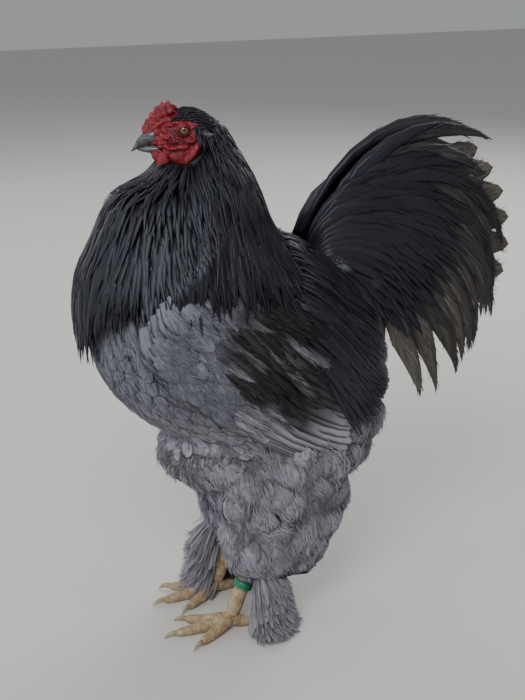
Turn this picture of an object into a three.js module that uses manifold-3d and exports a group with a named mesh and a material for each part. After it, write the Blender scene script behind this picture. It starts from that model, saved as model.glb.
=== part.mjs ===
// Brahma rooster, life size, standing still with its head turned a little to its right.
// Millimetres, +Z up. The bird faces -Y and its left side is +X. Everything is first laid out from a point
// on the floor midway between the feet; at the end the group moves so that the origin is the middle of the
// whole bird's footprint.
import * as THREE from "three";
import { mergeVertices } from "three/addons/utils/BufferGeometryUtils.js";
import Module from "manifold-3d";

const wasm = await Module();
wasm.setup();

// Driving dimensions
const GAP = 0.35; // between pieces that touch
const LEG_X = 47; // each leg's distance from the middle
const LEFT_FOOT_Y = -5;
const RIGHT_FOOT_Y = 10;
const BREAST_Y = -158; // front of the torso
const VENT_Y = 215; // back of the torso
const BODY_FULLNESS = 3; // 2 is an ellipsoid, more is blunter at breast and vent
const HEAD_AT = new THREE.Vector3(0, -38, 642);
const HEAD_TURN = 15; // degrees towards the bird's right
const HEAD_NOD = 1; // degrees down
const EYE = { fore: 2.5, out: 18.4, up: 3, r: 8.2, open: [7.4, 6.2] };

// The torso at each y: height of its middle, half height and half width, before the ends are rounded off
const BODY = {
  mid: [[-158, 428], [-60, 398], [40, 366], [130, 350], [215, 336]],
  tall: [[-158, 126], [-60, 136], [40, 140], [130, 134], [215, 116]],
  wide: [[-158, 106], [-60, 114], [40, 116], [130, 107], [215, 86]],
};

// The hackle's bell at each height: the neck's middle, and its reach to the front, back and sides
const BELL = {
  mid: [[395, -40], [470, -40], [545, -36], [594, -32], [650, -28]],
  front: [[395, 124], [430, 125], [470, 121], [505, 110], [545, 107], [570, 98], [590, 63], [620, 34], [650, 26]],
  back: [[395, 130], [470, 121], [505, 110], [545, 96], [570, 86], [594, 73], [620, 56], [650, 36]],
  side: [[395, 120], [430, 117], [470, 109], [505, 97], [545, 83], [570, 71], [594, 56], [620, 40], [650, 27]],
};

const materials = {
  plumageDark: new THREE.MeshStandardMaterial({ color: 0x24262e, roughness: 0.55 }),
  plumageGrey: new THREE.MeshStandardMaterial({ color: 0x7d808c, roughness: 0.75 }),
  fluff: new THREE.MeshStandardMaterial({ color: 0xa3a6b2, roughness: 0.95 }),
  skin: new THREE.MeshStandardMaterial({ color: 0xb3192c, roughness: 0.55 }),
  horn: new THREE.MeshStandardMaterial({ color: 0x5d5f66, roughness: 0.4 }),
  eye: new THREE.MeshStandardMaterial({ color: 0xc0581a, roughness: 0.1 }),
  scales: new THREE.MeshStandardMaterial({ color: 0xc9a06a, roughness: 0.6 }),
  claw: new THREE.MeshStandardMaterial({ color: 0xd9cbb0, roughness: 0.45 }),
  band: new THREE.MeshStandardMaterial({ color: 0x10895a, roughness: 0.4 }),
};

// A smooth value at x from rows of [position, value], held level past both ends
function along(rows, x) {
  if (x <= rows[0][0]) return rows[0][1];
  const last = rows.length - 1;
  if (x >= rows[last][0]) return rows[last][1];
  let i = 0;
  while (x > rows[i + 1][0]) i++;
  const slope = (k) => {
    const a = rows[Math.max(k - 1, 0)];
    const b = rows[Math.min(k + 1, last)];
    return (b[1] - a[1]) / (b[0] - a[0]);
  };
  const width = rows[i + 1][0] - rows[i][0];
  const t = (x - rows[i][0]) / width;
  const fall = (1 + 2 * t) * (1 - t) * (1 - t);
  return (
    fall * rows[i][1] +
    (1 - fall) * rows[i + 1][1] +
    t * (1 - t) * width * ((1 - t) * slope(i) - t * slope(i + 1))
  );
}

// A closed geometry as a solid, turned right way out
function solid(geometry) {
  const bare = geometry.clone();
  bare.deleteAttribute("normal");
  bare.deleteAttribute("uv");
  const merged = mergeVertices(bare, 1e-4);
  const vertProperties = Float32Array.from(merged.attributes.position.array);
  const triVerts = Uint32Array.from(merged.index.array);
  const make = () => new wasm.Manifold(new wasm.Mesh({ numProp: 3, vertProperties, triVerts }));
  const made = make();
  if (made.volume() > 0) return made;
  for (let i = 0; i < triVerts.length; i += 3) {
    [triVerts[i + 1], triVerts[i + 2]] = [triVerts[i + 2], triVerts[i + 1]];
  }
  return make();
}

// A closed skin with a pole at each end: point(u, v) goes once round with u and from pole to pole with v
function wrapped(around, rings, point) {
  const geometry = new THREE.SphereGeometry(1, around, rings);
  const { position, uv } = geometry.attributes;
  for (let i = 0; i < position.count; i++) {
    const p = point(uv.getX(i) * 2 * Math.PI, 1 - uv.getY(i));
    position.setXYZ(i, p.x, p.y, p.z);
  }
  return solid(geometry);
}

const joined = (solids) => wasm.Manifold.union(solids);
const cut = (a, ...others) => others.reduce((made, b) => made.subtract(b), a);
const largest = (a) => a.decompose().reduce((most, b) => (b.volume() > most.volume() ? b : most));

// An ellipsoid with its own axes: reach is its half sizes, tilt turns it about X, yaw about Z
function blob(at, reach, { tilt = 0, yaw = 0, around = 10, rings = 7, grow = 0 } = {}) {
  const turn = new THREE.Euler(THREE.MathUtils.degToRad(tilt), 0, THREE.MathUtils.degToRad(yaw), "ZYX");
  return wrapped(around, rings, (u, v) => {
    const r = Math.sin(Math.PI * v);
    return new THREE.Vector3(
      (reach[0] + grow) * r * Math.cos(u),
      (reach[1] + grow) * r * Math.sin(u),
      (reach[2] + grow) * Math.cos(Math.PI * v),
    )
      .applyEuler(turn)
      .add(new THREE.Vector3(...at));
  });
}

// A tapering limb along points with a radius at each, round at both ends; flat squeezes it in height
function limb(points, radii, { around = 8, rings = 8, flat = 1, grow = 0 } = {}) {
  const path = new THREE.CatmullRomCurve3(points.map((p) => new THREE.Vector3(...p)));
  const radius = radii.map((r, i) => [i / (radii.length - 1), r]);
  return wrapped(around, rings, (u, v) => {
    const t = 0.5 - 0.5 * Math.cos(Math.PI * v);
    const centre = path.getPoint(t);
    const ahead = path.getTangent(t);
    const side = new THREE.Vector3(0, 0, 1).cross(ahead);
    if (side.lengthSq() < 1e-6) side.set(1, 0, 0);
    side.normalize();
    const rise = ahead.clone().cross(side);
    const r = (along(radius, t) + grow) * Math.sqrt(Math.max(0, 1 - Math.pow(2 * t - 1, 8)));
    const reach = (along(radius, t) + grow) * 0.6 * Math.pow(2 * t - 1, 7);
    return centre
      .addScaledVector(side, r * Math.cos(u))
      .addScaledVector(rise, r * flat * Math.sin(u))
      .addScaledVector(ahead, reach);
  });
}

const lerp = THREE.MathUtils.lerp;

// A steady small variation for the nth piece of a row, between -1 and 1
const vary = (row, n) => {
  const x = Math.sin(row * 12.9898 + n * 78.233) * 43758.5453;
  return 2 * (x - Math.floor(x)) - 1;
};
const ease = (t) => {
  const x = Math.min(1, Math.max(0, t));
  return x * x * (3 - 2 * x);
};

// A flat tapering vane with a rib along its middle: at(t) is its middle line from root to tip, facing(t) the way
// that its upper face looks. Its edges bend down by cup, and both faces are split into triangles alike.
function vane(at, facing, look) {
  const { wide, thick = 1.7, rings = 3, cup = 0.1, roll = 0 } = look;
  const { root = 0.55, full = 0.45, ends = 0.82, tip = 0.5 } = look;
  const points = [];
  for (let i = 0; i < rings; i++) {
    const t = (ends * i) / (rings - 1);
    const p = at(t);
    const ahead = at(t + 0.02).sub(at(t - 0.02)).normalize();
    const up = facing(t, p).clone();
    up.addScaledVector(ahead, -up.dot(ahead)).normalize();
    up.applyAxisAngle(ahead, THREE.MathUtils.degToRad(roll));
    const across = new THREE.Vector3().crossVectors(up, ahead);
    const grown = t < full ? lerp(root, 1, ease(t / full)) : lerp(1, tip, ease((t - full) / (ends - full)));
    const w = 0.5 * wide * grown;
    for (const [side, lift] of [[1, -cup * w], [0, thick / 2], [-1, -cup * w], [0, -thick / 2]]) {
      points.push(p.clone().addScaledVector(across, side * w).addScaledVector(up, lift));
    }
  }
  points.push(at(1));
  const faces = [];
  for (let i = 0; i < rings - 1; i++) {
    for (let k = 0; k < 4; k++) {
      const [a, b] = [4 * i + k, 4 * i + ((k + 1) % 4)];
      const [c, d] = [a + 4, b + 4];
      if (k % 2 === 0) faces.push(a, b, d, a, d, c);
      else faces.push(a, b, c, b, d, c);
    }
  }
  const last = 4 * (rings - 1);
  for (let k = 0; k < 4; k++) faces.push(last + k, last + ((k + 1) % 4), points.length - 1);
  faces.push(1, 0, 3, 1, 3, 2);
  return solid(new THREE.BufferGeometry().setFromPoints(points).setIndex(faces));
}

// Torso: an egg from breast to vent
function bodyRadii(y) {
  const t = (2 * (y - BREAST_Y)) / (VENT_Y - BREAST_Y) - 1;
  const round = Math.pow(Math.max(0, 1 - Math.pow(Math.abs(t), BODY_FULLNESS)), 1 / BODY_FULLNESS);
  return { mid: along(BODY.mid, y), tall: along(BODY.tall, y), wide: along(BODY.wide, y), round };
}

function body(grow = 0) {
  return wrapped(24, 14, (u, v) => {
    const ends = 0.5 - 0.5 * Math.cos(Math.PI * v);
    const y = THREE.MathUtils.lerp(BREAST_Y, VENT_Y, ends);
    const { mid, tall, wide, round } = bodyRadii(y);
    return new THREE.Vector3(
      (wide + grow) * round * Math.sin(u),
      y + grow * (2 * ends - 1),
      mid + (tall + grow) * round * Math.cos(u),
    );
  });
}

// How far a point stands outside the torso, about in millimetres
function outside(p) {
  const level = (x, y, z) => {
    const { mid, tall, wide } = bodyRadii(y);
    const t = (2 * (y - BREAST_Y)) / (VENT_Y - BREAST_Y) - 1;
    const q = Math.hypot(x / wide, (z - mid) / tall);
    return Math.pow(Math.pow(q, BODY_FULLNESS) + Math.pow(Math.abs(t), BODY_FULLNESS), 1 / BODY_FULLNESS) - 1;
  };
  const h = 0.5;
  const here = level(p.x, p.y, p.z);
  const slope = new THREE.Vector3(
    level(p.x + h, p.y, p.z) - level(p.x - h, p.y, p.z),
    level(p.x, p.y + h, p.z) - level(p.x, p.y - h, p.z),
    level(p.x, p.y, p.z + h) - level(p.x, p.y, p.z - h),
  ).divideScalar(2 * h);
  return { distance: here / slope.length(), normal: slope.normalize() };
}

// The hackle's bell: a point at angle u from the front, at height z, out from the bell by off
function bellPoint(u, z, off = 0) {
  const reach = Math.cos(u) > 0 ? along(BELL.front, z) : along(BELL.back, z);
  return new THREE.Vector3(
    (along(BELL.side, z) + off) * Math.sin(u),
    along(BELL.mid, z) - (reach + off) * Math.cos(u),
    z,
  );
}

// Head: its own frame has -Y ahead and +Z up, and is then turned and set on the neck
const headTurn = new THREE.Matrix4()
  .makeTranslation(HEAD_AT.x, HEAD_AT.y, HEAD_AT.z)
  .multiply(new THREE.Matrix4().makeRotationZ(THREE.MathUtils.degToRad(-HEAD_TURN)))
  .multiply(new THREE.Matrix4().makeRotationX(THREE.MathUtils.degToRad(HEAD_NOD)));
const onHead = (fore, out, up) => new THREE.Vector3(out, -fore, up).applyMatrix4(headTurn);
const headWrapped = (around, rings, point) =>
  wrapped(around, rings, (u, v) => {
    const [fore, out, up] = point(u, v);
    return onHead(fore, out, up);
  });

const HEAD = {
  from: -40,
  to: 46,
  mid: [[-40, -6], [-15, -1], [5, -2], [25, -6], [46, -10]],
  tall: [[-40, 23], [-18, 25], [3, 27], [25, 20], [46, 13]],
  wide: [[-40, 24], [-15, 24], [5, 21], [25, 15], [46, 10]],
};

function skull(grow = 0) {
  return headWrapped(16, 10, (u, v) => {
    const t = 0.5 - 0.5 * Math.cos(Math.PI * v);
    const fore = THREE.MathUtils.lerp(HEAD.from, HEAD.to, t);
    const round = Math.pow(1 - Math.pow(Math.abs(2 * t - 1), 2.6), 1 / 2.6);
    return [
      fore + grow * (2 * t - 1),
      (along(HEAD.wide, fore) + grow) * round * Math.sin(u),
      along(HEAD.mid, fore) + (along(HEAD.tall, fore) + grow) * round * Math.cos(u),
    ];
  });
}

// Beak: the upper half hooks down over the lower
const UPPER_BEAK = {
  length: [30, 64],
  mid: [[30, -4], [42, -6.5], [54, -12], [64, -22.5]],
  tall: [[30, 11], [42, 9.5], [54, 7], [64, 2]],
  wide: [[30, 11], [42, 9.4], [54, 6.2], [64, 1.6]],
};
const LOWER_BEAK = {
  length: [27, 57],
  mid: [[27, -20.5], [42, -20.5], [57, -20]],
  tall: [[27, 6], [42, 5], [57, 2.2]],
  wide: [[27, 10.5], [42, 7.8], [57, 3]],
};

function beakHalf(shape, grow = 0) {
  return headWrapped(10, 7, (u, v) => {
    const t = 0.5 - 0.5 * Math.cos(Math.PI * v);
    const fore = THREE.MathUtils.lerp(...shape.length, t);
    const round = Math.pow(Math.max(0, 1 - Math.pow(Math.abs(2 * t - 1), 4)), 0.25);
    return [
      fore + grow * (2 * t - 1),
      (along(shape.wide, fore) + grow) * round * Math.sin(u),
      along(shape.mid, fore) + (along(shape.tall, fore) + grow) * round * Math.cos(u),
    ];
  });
}

// Pea comb: its ridge line over beak and brow, and how many peas a row has
const COMB = {
  front: 48,
  back: 13,
  peas: 5,
  ridge: [[12, 26.5], [18, 27.5], [28, 23], [40, 11], [48, 3]],
};

// Wattle of one side: lobes as [fore, out, up, half sizes across, along and tall]
const WATTLE = [
  [33, 8, -27, 5, 8, 8],
  [27, 11, -36, 4.5, 8, 13],
  [25, 12, -45, 3.8, 6.5, 9],
];
// Earlobe of one side: a long fold from behind the eye down and forward along the jaw
const LOBE = { points: [[-16, 21, -10], [-8, 21, -24], [4, 18, -36], [14, 13, -43]], radii: [3.5, 5, 5, 3] };

// Wing: its own flat frame on the flank, a from shoulder to tip and b across it, up and back
const WING = {
  shoulder: { y: -88, z: 460 },
  axis: 42.7, // degrees that it slopes down to the back
  length: 308,
  wide: [[0, 60], [100, 82], [220, 70], [308, 26]], // half width along it
  thick: [[0, 6], [90, 4], [160, 1.8], [308, 1]], // of the pad that the vanes grow from
  hang: 112, // least distance of its outer plane from the middle, where the torso falls away
};
const slope = THREE.MathUtils.degToRad(WING.axis);
const wingY = (a, b) => WING.shoulder.y + a * Math.cos(slope) + b * Math.sin(slope);
const wingZ = (a, b) => WING.shoulder.z - a * Math.sin(slope) + b * Math.cos(slope);

const wingAlong = (y, z) => (y - WING.shoulder.y) * Math.cos(slope) - (z - WING.shoulder.z) * Math.sin(slope);
const wingAcross = (y, z) => (y - WING.shoulder.y) * Math.sin(slope) + (z - WING.shoulder.z) * Math.cos(slope);

// A point over the flank at (y, z), off above the torso, or above the plane in which the wing hangs clear
function overFlank(y, z, off) {
  const { mid, tall, wide, round } = bodyRadii(y);
  const q = Math.pow(round, 2) - Math.pow((z - mid) / tall, 2);
  const p = new THREE.Vector3(wide * Math.sqrt(Math.max(q, 0.0001)), y, z);
  const { normal } = outside(p);
  p.addScaledVector(normal, off);
  const high = wingAcross(y, z);
  const fall = Math.max(0, y - 60) * 0.1 + 16 * ease((high - 35) / 60);
  p.x = Math.max(p.x, WING.hang - 6 - fall + off);
  return p;
}

function wingPad(side, grow = 0) {
  return wrapped(14, 8, (u, v) => {
    const r = Math.sin(Math.PI * v);
    const more = r > 0.01 ? grow : 0;
    const a = WING.length * 0.5 * (1 + Math.cos(Math.PI * v)) + grow * Math.cos(Math.PI * v);
    const b = 12 + (along(WING.wide, a) * Math.pow(r, 0.8) + more) * Math.cos(u);
    const p = overFlank(wingY(a, b), wingZ(a, b), 0);
    p.x += (along(WING.thick, a) * Math.pow(r, 0.5) + more) * Math.sin(u);
    p.x *= side;
    return p;
  });
}

const SIDES = [["left", 1], ["right", -1]];
const root = new THREE.Group();

function show(name, shape, material) {
  const found = largest(shape).getMesh();
  const positions = new Float32Array(found.numVert * 3);
  for (let i = 0; i < found.numVert; i++) {
    positions.set(found.vertProperties.subarray(i * found.numProp, i * found.numProp + 3), i * 3);
  }
  const geometry = new THREE.BufferGeometry()
    .setAttribute("position", new THREE.BufferAttribute(positions, 3))
    .setIndex(new THREE.BufferAttribute(Uint32Array.from(found.triVerts), 1));
  geometry.computeVertexNormals();
  const mesh = new THREE.Mesh(geometry, material);
  mesh.name = name;
  root.add(mesh);
}

// Torso and head
const torsoRoom = body(GAP);
show("torso", body(), materials.plumageGrey);

const eyeAt = (side, grow = 0) => {
  const c = onHead(EYE.fore, side * EYE.out, EYE.up);
  return blob([c.x, c.y, c.z], [EYE.r, EYE.r, EYE.r], { around: 10, rings: 7, grow });
};
const headRoom = skull(GAP);
const eyeRooms = SIDES.map(([, s]) => eyeAt(s, GAP));
const upperRoom = beakHalf(UPPER_BEAK, GAP);
const lowerRoom = beakHalf(LOWER_BEAK, GAP);
// Lids leave an opening a little longer than it is high
const lids = (s) => {
  const c = onHead(EYE.fore, s * EYE.out, EYE.up);
  const shell = blob([c.x, c.y, c.z], [EYE.r, EYE.r, EYE.r], { around: 10, rings: 7, grow: 1.7 });
  const opening = headWrapped(10, 6, (u, v) => [
    EYE.fore + EYE.open[0] * Math.sin(Math.PI * v) * Math.cos(u),
    s * (EYE.out + 9 - 9 * Math.cos(Math.PI * v)),
    EYE.up + EYE.open[1] * Math.sin(Math.PI * v) * Math.sin(u),
  ]);
  return shell.subtract(opening);
};
const ear = (s) => {
  const c = onHead(-15, s * 22, -4);
  return blob([c.x, c.y, c.z], [3.5, 6.5, 5], { around: 8, rings: 6 });
};
const skin = joined([skull(), ...SIDES.flatMap(([, s]) => [lids(s), ear(s)])]);
show("head", cut(skin, ...eyeRooms), materials.skin);
const lidRooms = SIDES.map(([, s]) => {
  const c = onHead(EYE.fore, s * EYE.out, EYE.up);
  const e = onHead(-15, s * 22, -4);
  return joined([
    blob([c.x, c.y, c.z], [EYE.r, EYE.r, EYE.r], { around: 10, rings: 7, grow: 1.7 + GAP }),
    blob([e.x, e.y, e.z], [3.5, 6.5, 5], { around: 8, rings: 6, grow: GAP }),
  ]);
});
for (const [name, s] of SIDES) show(`eye_${name}`, eyeAt(s), materials.eye);
const nostrils = SIDES.map(([, s]) =>
  headWrapped(8, 5, (u, v) => [
    45 + 3.4 * Math.sin(Math.PI * v) * Math.cos(u),
    s * (8.6 - 2.4 * Math.cos(Math.PI * v)),
    -4.5 + 1.5 * Math.sin(Math.PI * v) * Math.sin(u),
  ]),
);
show("beak_upper", cut(beakHalf(UPPER_BEAK), headRoom, ...nostrils), materials.horn);
show("beak_lower", cut(beakHalf(LOWER_BEAK), headRoom, upperRoom), materials.horn);

// Comb: three rows of peas on a low base, the middle row the tallest
const combPeas = [];
for (const [row, out, size] of [[0, 0, 1.1], [1, 5.5, 0.8], [-1, -5.5, 0.8]]) {
  for (let k = 0; k < COMB.peas; k++) {
    const t = k / (COMB.peas - 1);
    const fore = THREE.MathUtils.lerp(COMB.front, COMB.back, t);
    const up = along(COMB.ridge, fore) - Math.abs(row) * 4.5;
    const at = onHead(fore, out, up);
    const r = size * (4.6 + 2.4 * Math.sin(Math.PI * Math.min(1, t * 0.9 + 0.15)));
    combPeas.push(blob([at.x, at.y, at.z], [r * 0.85, r * 1.05, r * 1.15], { around: 6, rings: 4 }));
  }
}
const combBase = headWrapped(10, 6, (u, v) => {
  const t = 0.5 - 0.5 * Math.cos(Math.PI * v);
  const fore = THREE.MathUtils.lerp(COMB.front + 2, COMB.back - 3, t);
  const round = Math.sqrt(Math.max(0, 1 - Math.pow(2 * t - 1, 4)));
  const up = along(COMB.ridge, fore) - 6;
  return [fore, 7.5 * round * Math.sin(u), up + 9 * round * Math.cos(u)];
});
const comb = cut(joined([combBase, ...combPeas]), headRoom, upperRoom, ...lidRooms);
show("comb", comb, materials.skin);

// Wattles and earlobes
const faceRooms = [];
for (const [name, s] of SIDES) {
  const flesh = (grow) =>
    WATTLE.map(([fore, out, up, a, b, c]) => {
      const at = onHead(fore, s * out, up);
      return blob([at.x, at.y, at.z], [a, b, c], { around: 8, rings: 5, grow });
    });
  const lobeAt = (grow) =>
    limb(LOBE.points.map(([fore, out, up]) => onHead(fore, s * out, up).toArray()), LOBE.radii, { grow });
  const wattleRoom = joined(flesh(GAP));
  show(`wattle_${name}`, cut(joined(flesh(0)), headRoom, lowerRoom, upperRoom, ...lidRooms), materials.skin);
  show(`earlobe_${name}`, cut(lobeAt(0), headRoom, wattleRoom, ...lidRooms), materials.skin);
  faceRooms.push(wattleRoom, lobeAt(GAP));
}

// Keeps a point at least margin outside the torso, and over a folded wing where it passes one
function clear(p, margin) {
  const { distance, normal } = outside(p);
  if (distance < margin) p.addScaledVector(normal, margin - distance);
  const side = p.x < 0 ? -1 : 1;
  const [a, b] = [wingAlong(p.y, p.z), wingAcross(p.y, p.z)];
  const inside = ease((a + 30) / 30) * ease((WING.length + 14 - a) / 20) * ease((112 - b) / 30) * ease((b + 90) / 14);
  if (inside > 0 && Math.abs(p.x) > 40) {
    const wanted = overFlank(p.y, p.z, 0).x + wingRise(a) + margin;
    const short = wanted - Math.abs(p.x);
    if (short > 0) p.x += side * short * inside;
  }
  return p;
}
// Height of the wing's outermost vanes above its inner face, a along it
const wingRise = (a) => lerp(6, 15.5, ease(a / 70)) - 5 * ease((a - 120) / 80);

// Neck: a core, and the hackle's locks in tiers, each tier over the roots of the next
const neckCoreAt = (grow) =>
  wrapped(16, 8, (u, v) => {
    const t = 0.5 - 0.5 * Math.cos(Math.PI * v);
    const z = THREE.MathUtils.lerp(650 + grow, 448 - grow, t);
    const round = Math.pow(1 - Math.pow(Math.abs(2 * t - 1), 6), 1 / 6);
    const p = bellPoint(u, z, -10 + grow);
    const mid = along(BELL.mid, z);
    return new THREE.Vector3(p.x * round, mid + (p.y - mid) * round, z);
  });
const HACKLE = [
  { root: 648, tip: 588, count: 10, wide: 27 },
  { root: 622, tip: 548, count: 11, wide: 31 },
  { root: 592, tip: 508, count: 13, wide: 34 },
  { root: 560, tip: 466, count: 15, wide: 36 },
  { root: 527, tip: 0, count: 17, wide: 38 },
];
// How low the hackle's edge hangs at angle u from the front
const hackleEdge = (u) => {
  const side = Math.abs(Math.sin(u));
  return THREE.MathUtils.lerp(Math.cos(u) > 0 ? 404 : 462, 462, ease(side * 1.15 - 0.1));
};
const hackle = [];
HACKLE.forEach((tier, row) => {
  for (let n = 0; n < tier.count; n++) {
    const u = ((n + 0.5 * (row % 2)) / tier.count) * 2 * Math.PI + 0.04 * vary(row, n);
    if (tier.root > 585 && Math.cos(u + 0.26) > 0.5) continue;
    const edge = tier.tip || hackleEdge(u);
    const tip = Math.max(edge, hackleEdge(u)) + 6 * vary(row + 9, n);
    const rootZ = Math.min(tier.root, tip + 118);
    const lift = n % 2 ? 1.5 : -1.2;
    const at = (t) => {
      const z = THREE.MathUtils.lerp(rootZ, tip, t);
      const p = bellPoint(u, z, -15 + (15 + lift) * ease(t * 1.25) + 2 * t);
      return z < 520 ? clear(p, 2.5 + 3 * (1 - t) + Math.max(0, lift) + 10 * ease((p.y - 50) / 30)) : p;
    };
    const facing = () => new THREE.Vector3(Math.sin(u), -Math.cos(u), 0.25);
    hackle.push(vane(at, facing, { wide: tier.wide, rings: row > 3 ? 4 : 3, cup: 0.12 }));
  }
});
const neckCore = cut(neckCoreAt(0), torsoRoom);
show(
  "neck",
  cut(joined([neckCore, ...hackle]), torsoRoom, headRoom, ...lidRooms, ...faceRooms),
  materials.plumageDark,
);
const neckRoom = neckCoreAt(GAP);

// Belly and rump fluff, as [x, y, z, half sizes]
const FLUFF = [
  [0, 146, 262, 82, 64, 72],
  [0, 75, 222, 90, 90, 52],
  [0, -5, 232, 80, 68, 40],
];
const lobes = (rows, { side = 1, shift = 0, grow = 0, around = 10, rings = 6 } = {}) =>
  joined(
    rows.map(([x, y, z, a, b, c]) => blob([x * side, y + shift, z], [a, b, c], { around, rings, grow })),
  );
const bellyRoom = lobes(FLUFF, { grow: GAP });
show("belly", cut(lobes(FLUFF), torsoRoom), materials.fluff);

// Leg fluff of one side, as [x, y, z, half sizes] from the middle of the foot
const THIGH = [
  [62, 92, 232, 46, 62, 50],
  [60, 50, 192, 45, 74, 56],
  [58, 118, 166, 32, 48, 46],
  [58, 46, 136, 38, 62, 48],
  [58, 100, 108, 26, 36, 38],
  [56, 38, 98, 31, 50, 36],
];
// Toes, as the turn from straight ahead towards the outside, and the length
const TOES = [
  { name: "inner", turn: -34, long: 58 },
  { name: "middle", turn: -2, long: 72 },
  { name: "outer", turn: 32, long: 60 },
  { name: "hind", turn: 168, long: 34 },
];
const toeTip = (s, y0, turn, long, z) => {
  const a = THREE.MathUtils.degToRad(turn) * s;
  return [LEG_X * s + Math.sin(a) * long, y0 - Math.cos(a) * long, z];
};
const shank = (s, y0, grow) =>
  limb([[s * 54, y0 + 54, 140], [s * 50, y0 + 24, 74], [LEG_X * s, y0 + 2, 15]], [10, 9, 11], {
    around: 10,
    rings: 6,
    grow,
  });
const foot = (s, y0, grow = 0) =>
  joined([
    shank(s, y0, grow),
    limb([[s * 44, y0 + 14, 42], [s * 32, y0 + 28, 40]], [5.5, 2.2], { rings: 5, grow }),
    ...TOES.map(({ turn, long }) =>
      limb(
        [[LEG_X * s, y0, 13], toeTip(s, y0, turn, long * 0.55, 7), toeTip(s, y0, turn, long, 5.4)],
        [9.5, 7.5, 6.2],
        { around: 8, rings: 6, grow },
      ),
    ),
  ]);
const claw = (s, y0, { turn, long }, grow = 0) =>
  limb(
    [toeTip(s, y0, turn, long, 7), toeTip(s, y0, turn, long + 9, 6), toeTip(s, y0, turn, long + 17, 0.9)],
    [3.6, 2.8, 1],
    { around: 5, rings: 5, grow },
  );
const underFloor = solid(new THREE.BoxGeometry(1000, 1200, 60).translate(0, 100, -30));

// Leg band on the left shank
const bandAt = (grow) =>
  solid(new THREE.CylinderGeometry(12.6 + grow, 12.6 + grow, 9 + 2 * grow, 24).rotateX(Math.PI / 2))
    .rotate([-23, 0, 0])
    .translate([49.5, LEFT_FOOT_Y + 18.5, 60]);
show("leg_band", cut(bandAt(0), shank(1, LEFT_FOOT_Y, GAP)), materials.band);
const bandRoom = bandAt(GAP);

// Feathers of shank and outer toe: on the left from the outer side round to the back, on the right all round
const FOOT_TUFTS = { count: 10, turns: { left: [72, 205], right: [-20, 185] }, back: { left: 33, right: 20 } };
const legRooms = [];
for (const [name, s] of SIDES) {
  const y0 = s > 0 ? LEFT_FOOT_Y : RIGHT_FOOT_Y;
  const where = { side: s, shift: y0 };
  const legRoom = lobes(THIGH, { ...where, grow: GAP });
  const footRoom = foot(s, y0, GAP);
  show(
    `leg_${name}`,
    cut(lobes(THIGH, where), torsoRoom, bellyRoom, bandRoom),
    materials.fluff,
  );
  show(`foot_${name}`, cut(foot(s, y0), legRoom, underFloor), materials.scales);
  for (const toe of TOES) {
    show(`claw_${name}_${toe.name}`, cut(claw(s, y0, toe), footRoom, underFloor), materials.claw);
  }
  const tuftY = y0 + FOOT_TUFTS.back[name];
  const tufts = [blob([s * 59, tuftY, 42], [10, 17, 36], { around: 8, rings: 5 })];
  for (let n = 0; n < FOOT_TUFTS.count; n++) {
    const k = n / (FOOT_TUFTS.count - 1);
    const high = n % 2;
    const turn = THREE.MathUtils.degToRad(lerp(...FOOT_TUFTS.turns[name], k) + 5 * vary(50, n));
    const way = new THREE.Vector3(s * Math.sin(turn), -Math.cos(turn), 0);
    const from = new THREE.Vector3(s * 59, tuftY, high ? 66 : 40);
    const reach = (high ? 42 : 50 + 6 * k) + 4 * vary(51, n);
    const drop = high ? 36 : 39;
    const at = (t) => {
      const p = from.clone().addScaledVector(way, 4 + (reach - 4) * Math.sin((t * Math.PI) / 2));
      p.z -= drop * Math.max(0, t) ** 1.6;
      return p;
    };
    tufts.push(vane(at, () => way.clone().setZ(0.8), { wide: 26, thick: 1.6, cup: 0.1, ends: 0.85 }));
  }
  const feathers = joined(tufts);
  const clawRooms = TOES.map((toe) => claw(s, y0, toe, GAP));
  show(
    `foot_feathers_${name}`,
    cut(feathers, legRoom, footRoom, bandRoom, underFloor, ...clawRooms),
    materials.fluff,
  );
  legRooms.push(legRoom);
}

// Wings: tiers of vanes over a pad, as [root, tip] in the wing's own frame at t across the tier
const wingAt = (a, b, off) => overFlank(wingY(a, b), wingZ(a, b), off);
const WING_TIERS = [
  {
    name: "primaries",
    count: 4,
    wide: 24,
    off: [1, 2.6],
    root: (k) => [130 + 8 * k, -60 + 14 * k],
    tip: (k) => [300 + 18 * k, -24 + 14 * k],
  },
  {
    name: "secondaries",
    count: 9,
    wide: 25,
    off: [1.5, 4.6],
    root: (k) => [95 + 22 * k, -52 + 118 * k],
    tip: (k) => [308 - 62 * k ** 1.5, -14 + 84 * k],
  },
  {
    name: "greater coverts",
    count: 8,
    wide: 27,
    off: [2.5, 9.2],
    root: (k) => [48 - 6 * k, -46 + 120 * k],
    tip: (k) => [178 - 14 * k, -50 + 132 * k],
  },
  {
    name: "bow",
    count: 7,
    wide: 27,
    off: [3.5, 13.2],
    root: (k) => [2 + 4 * k, -34 + 96 * k],
    tip: (k) => [98 + 8 * k, -50 + 124 * k],
  },
];
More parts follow.
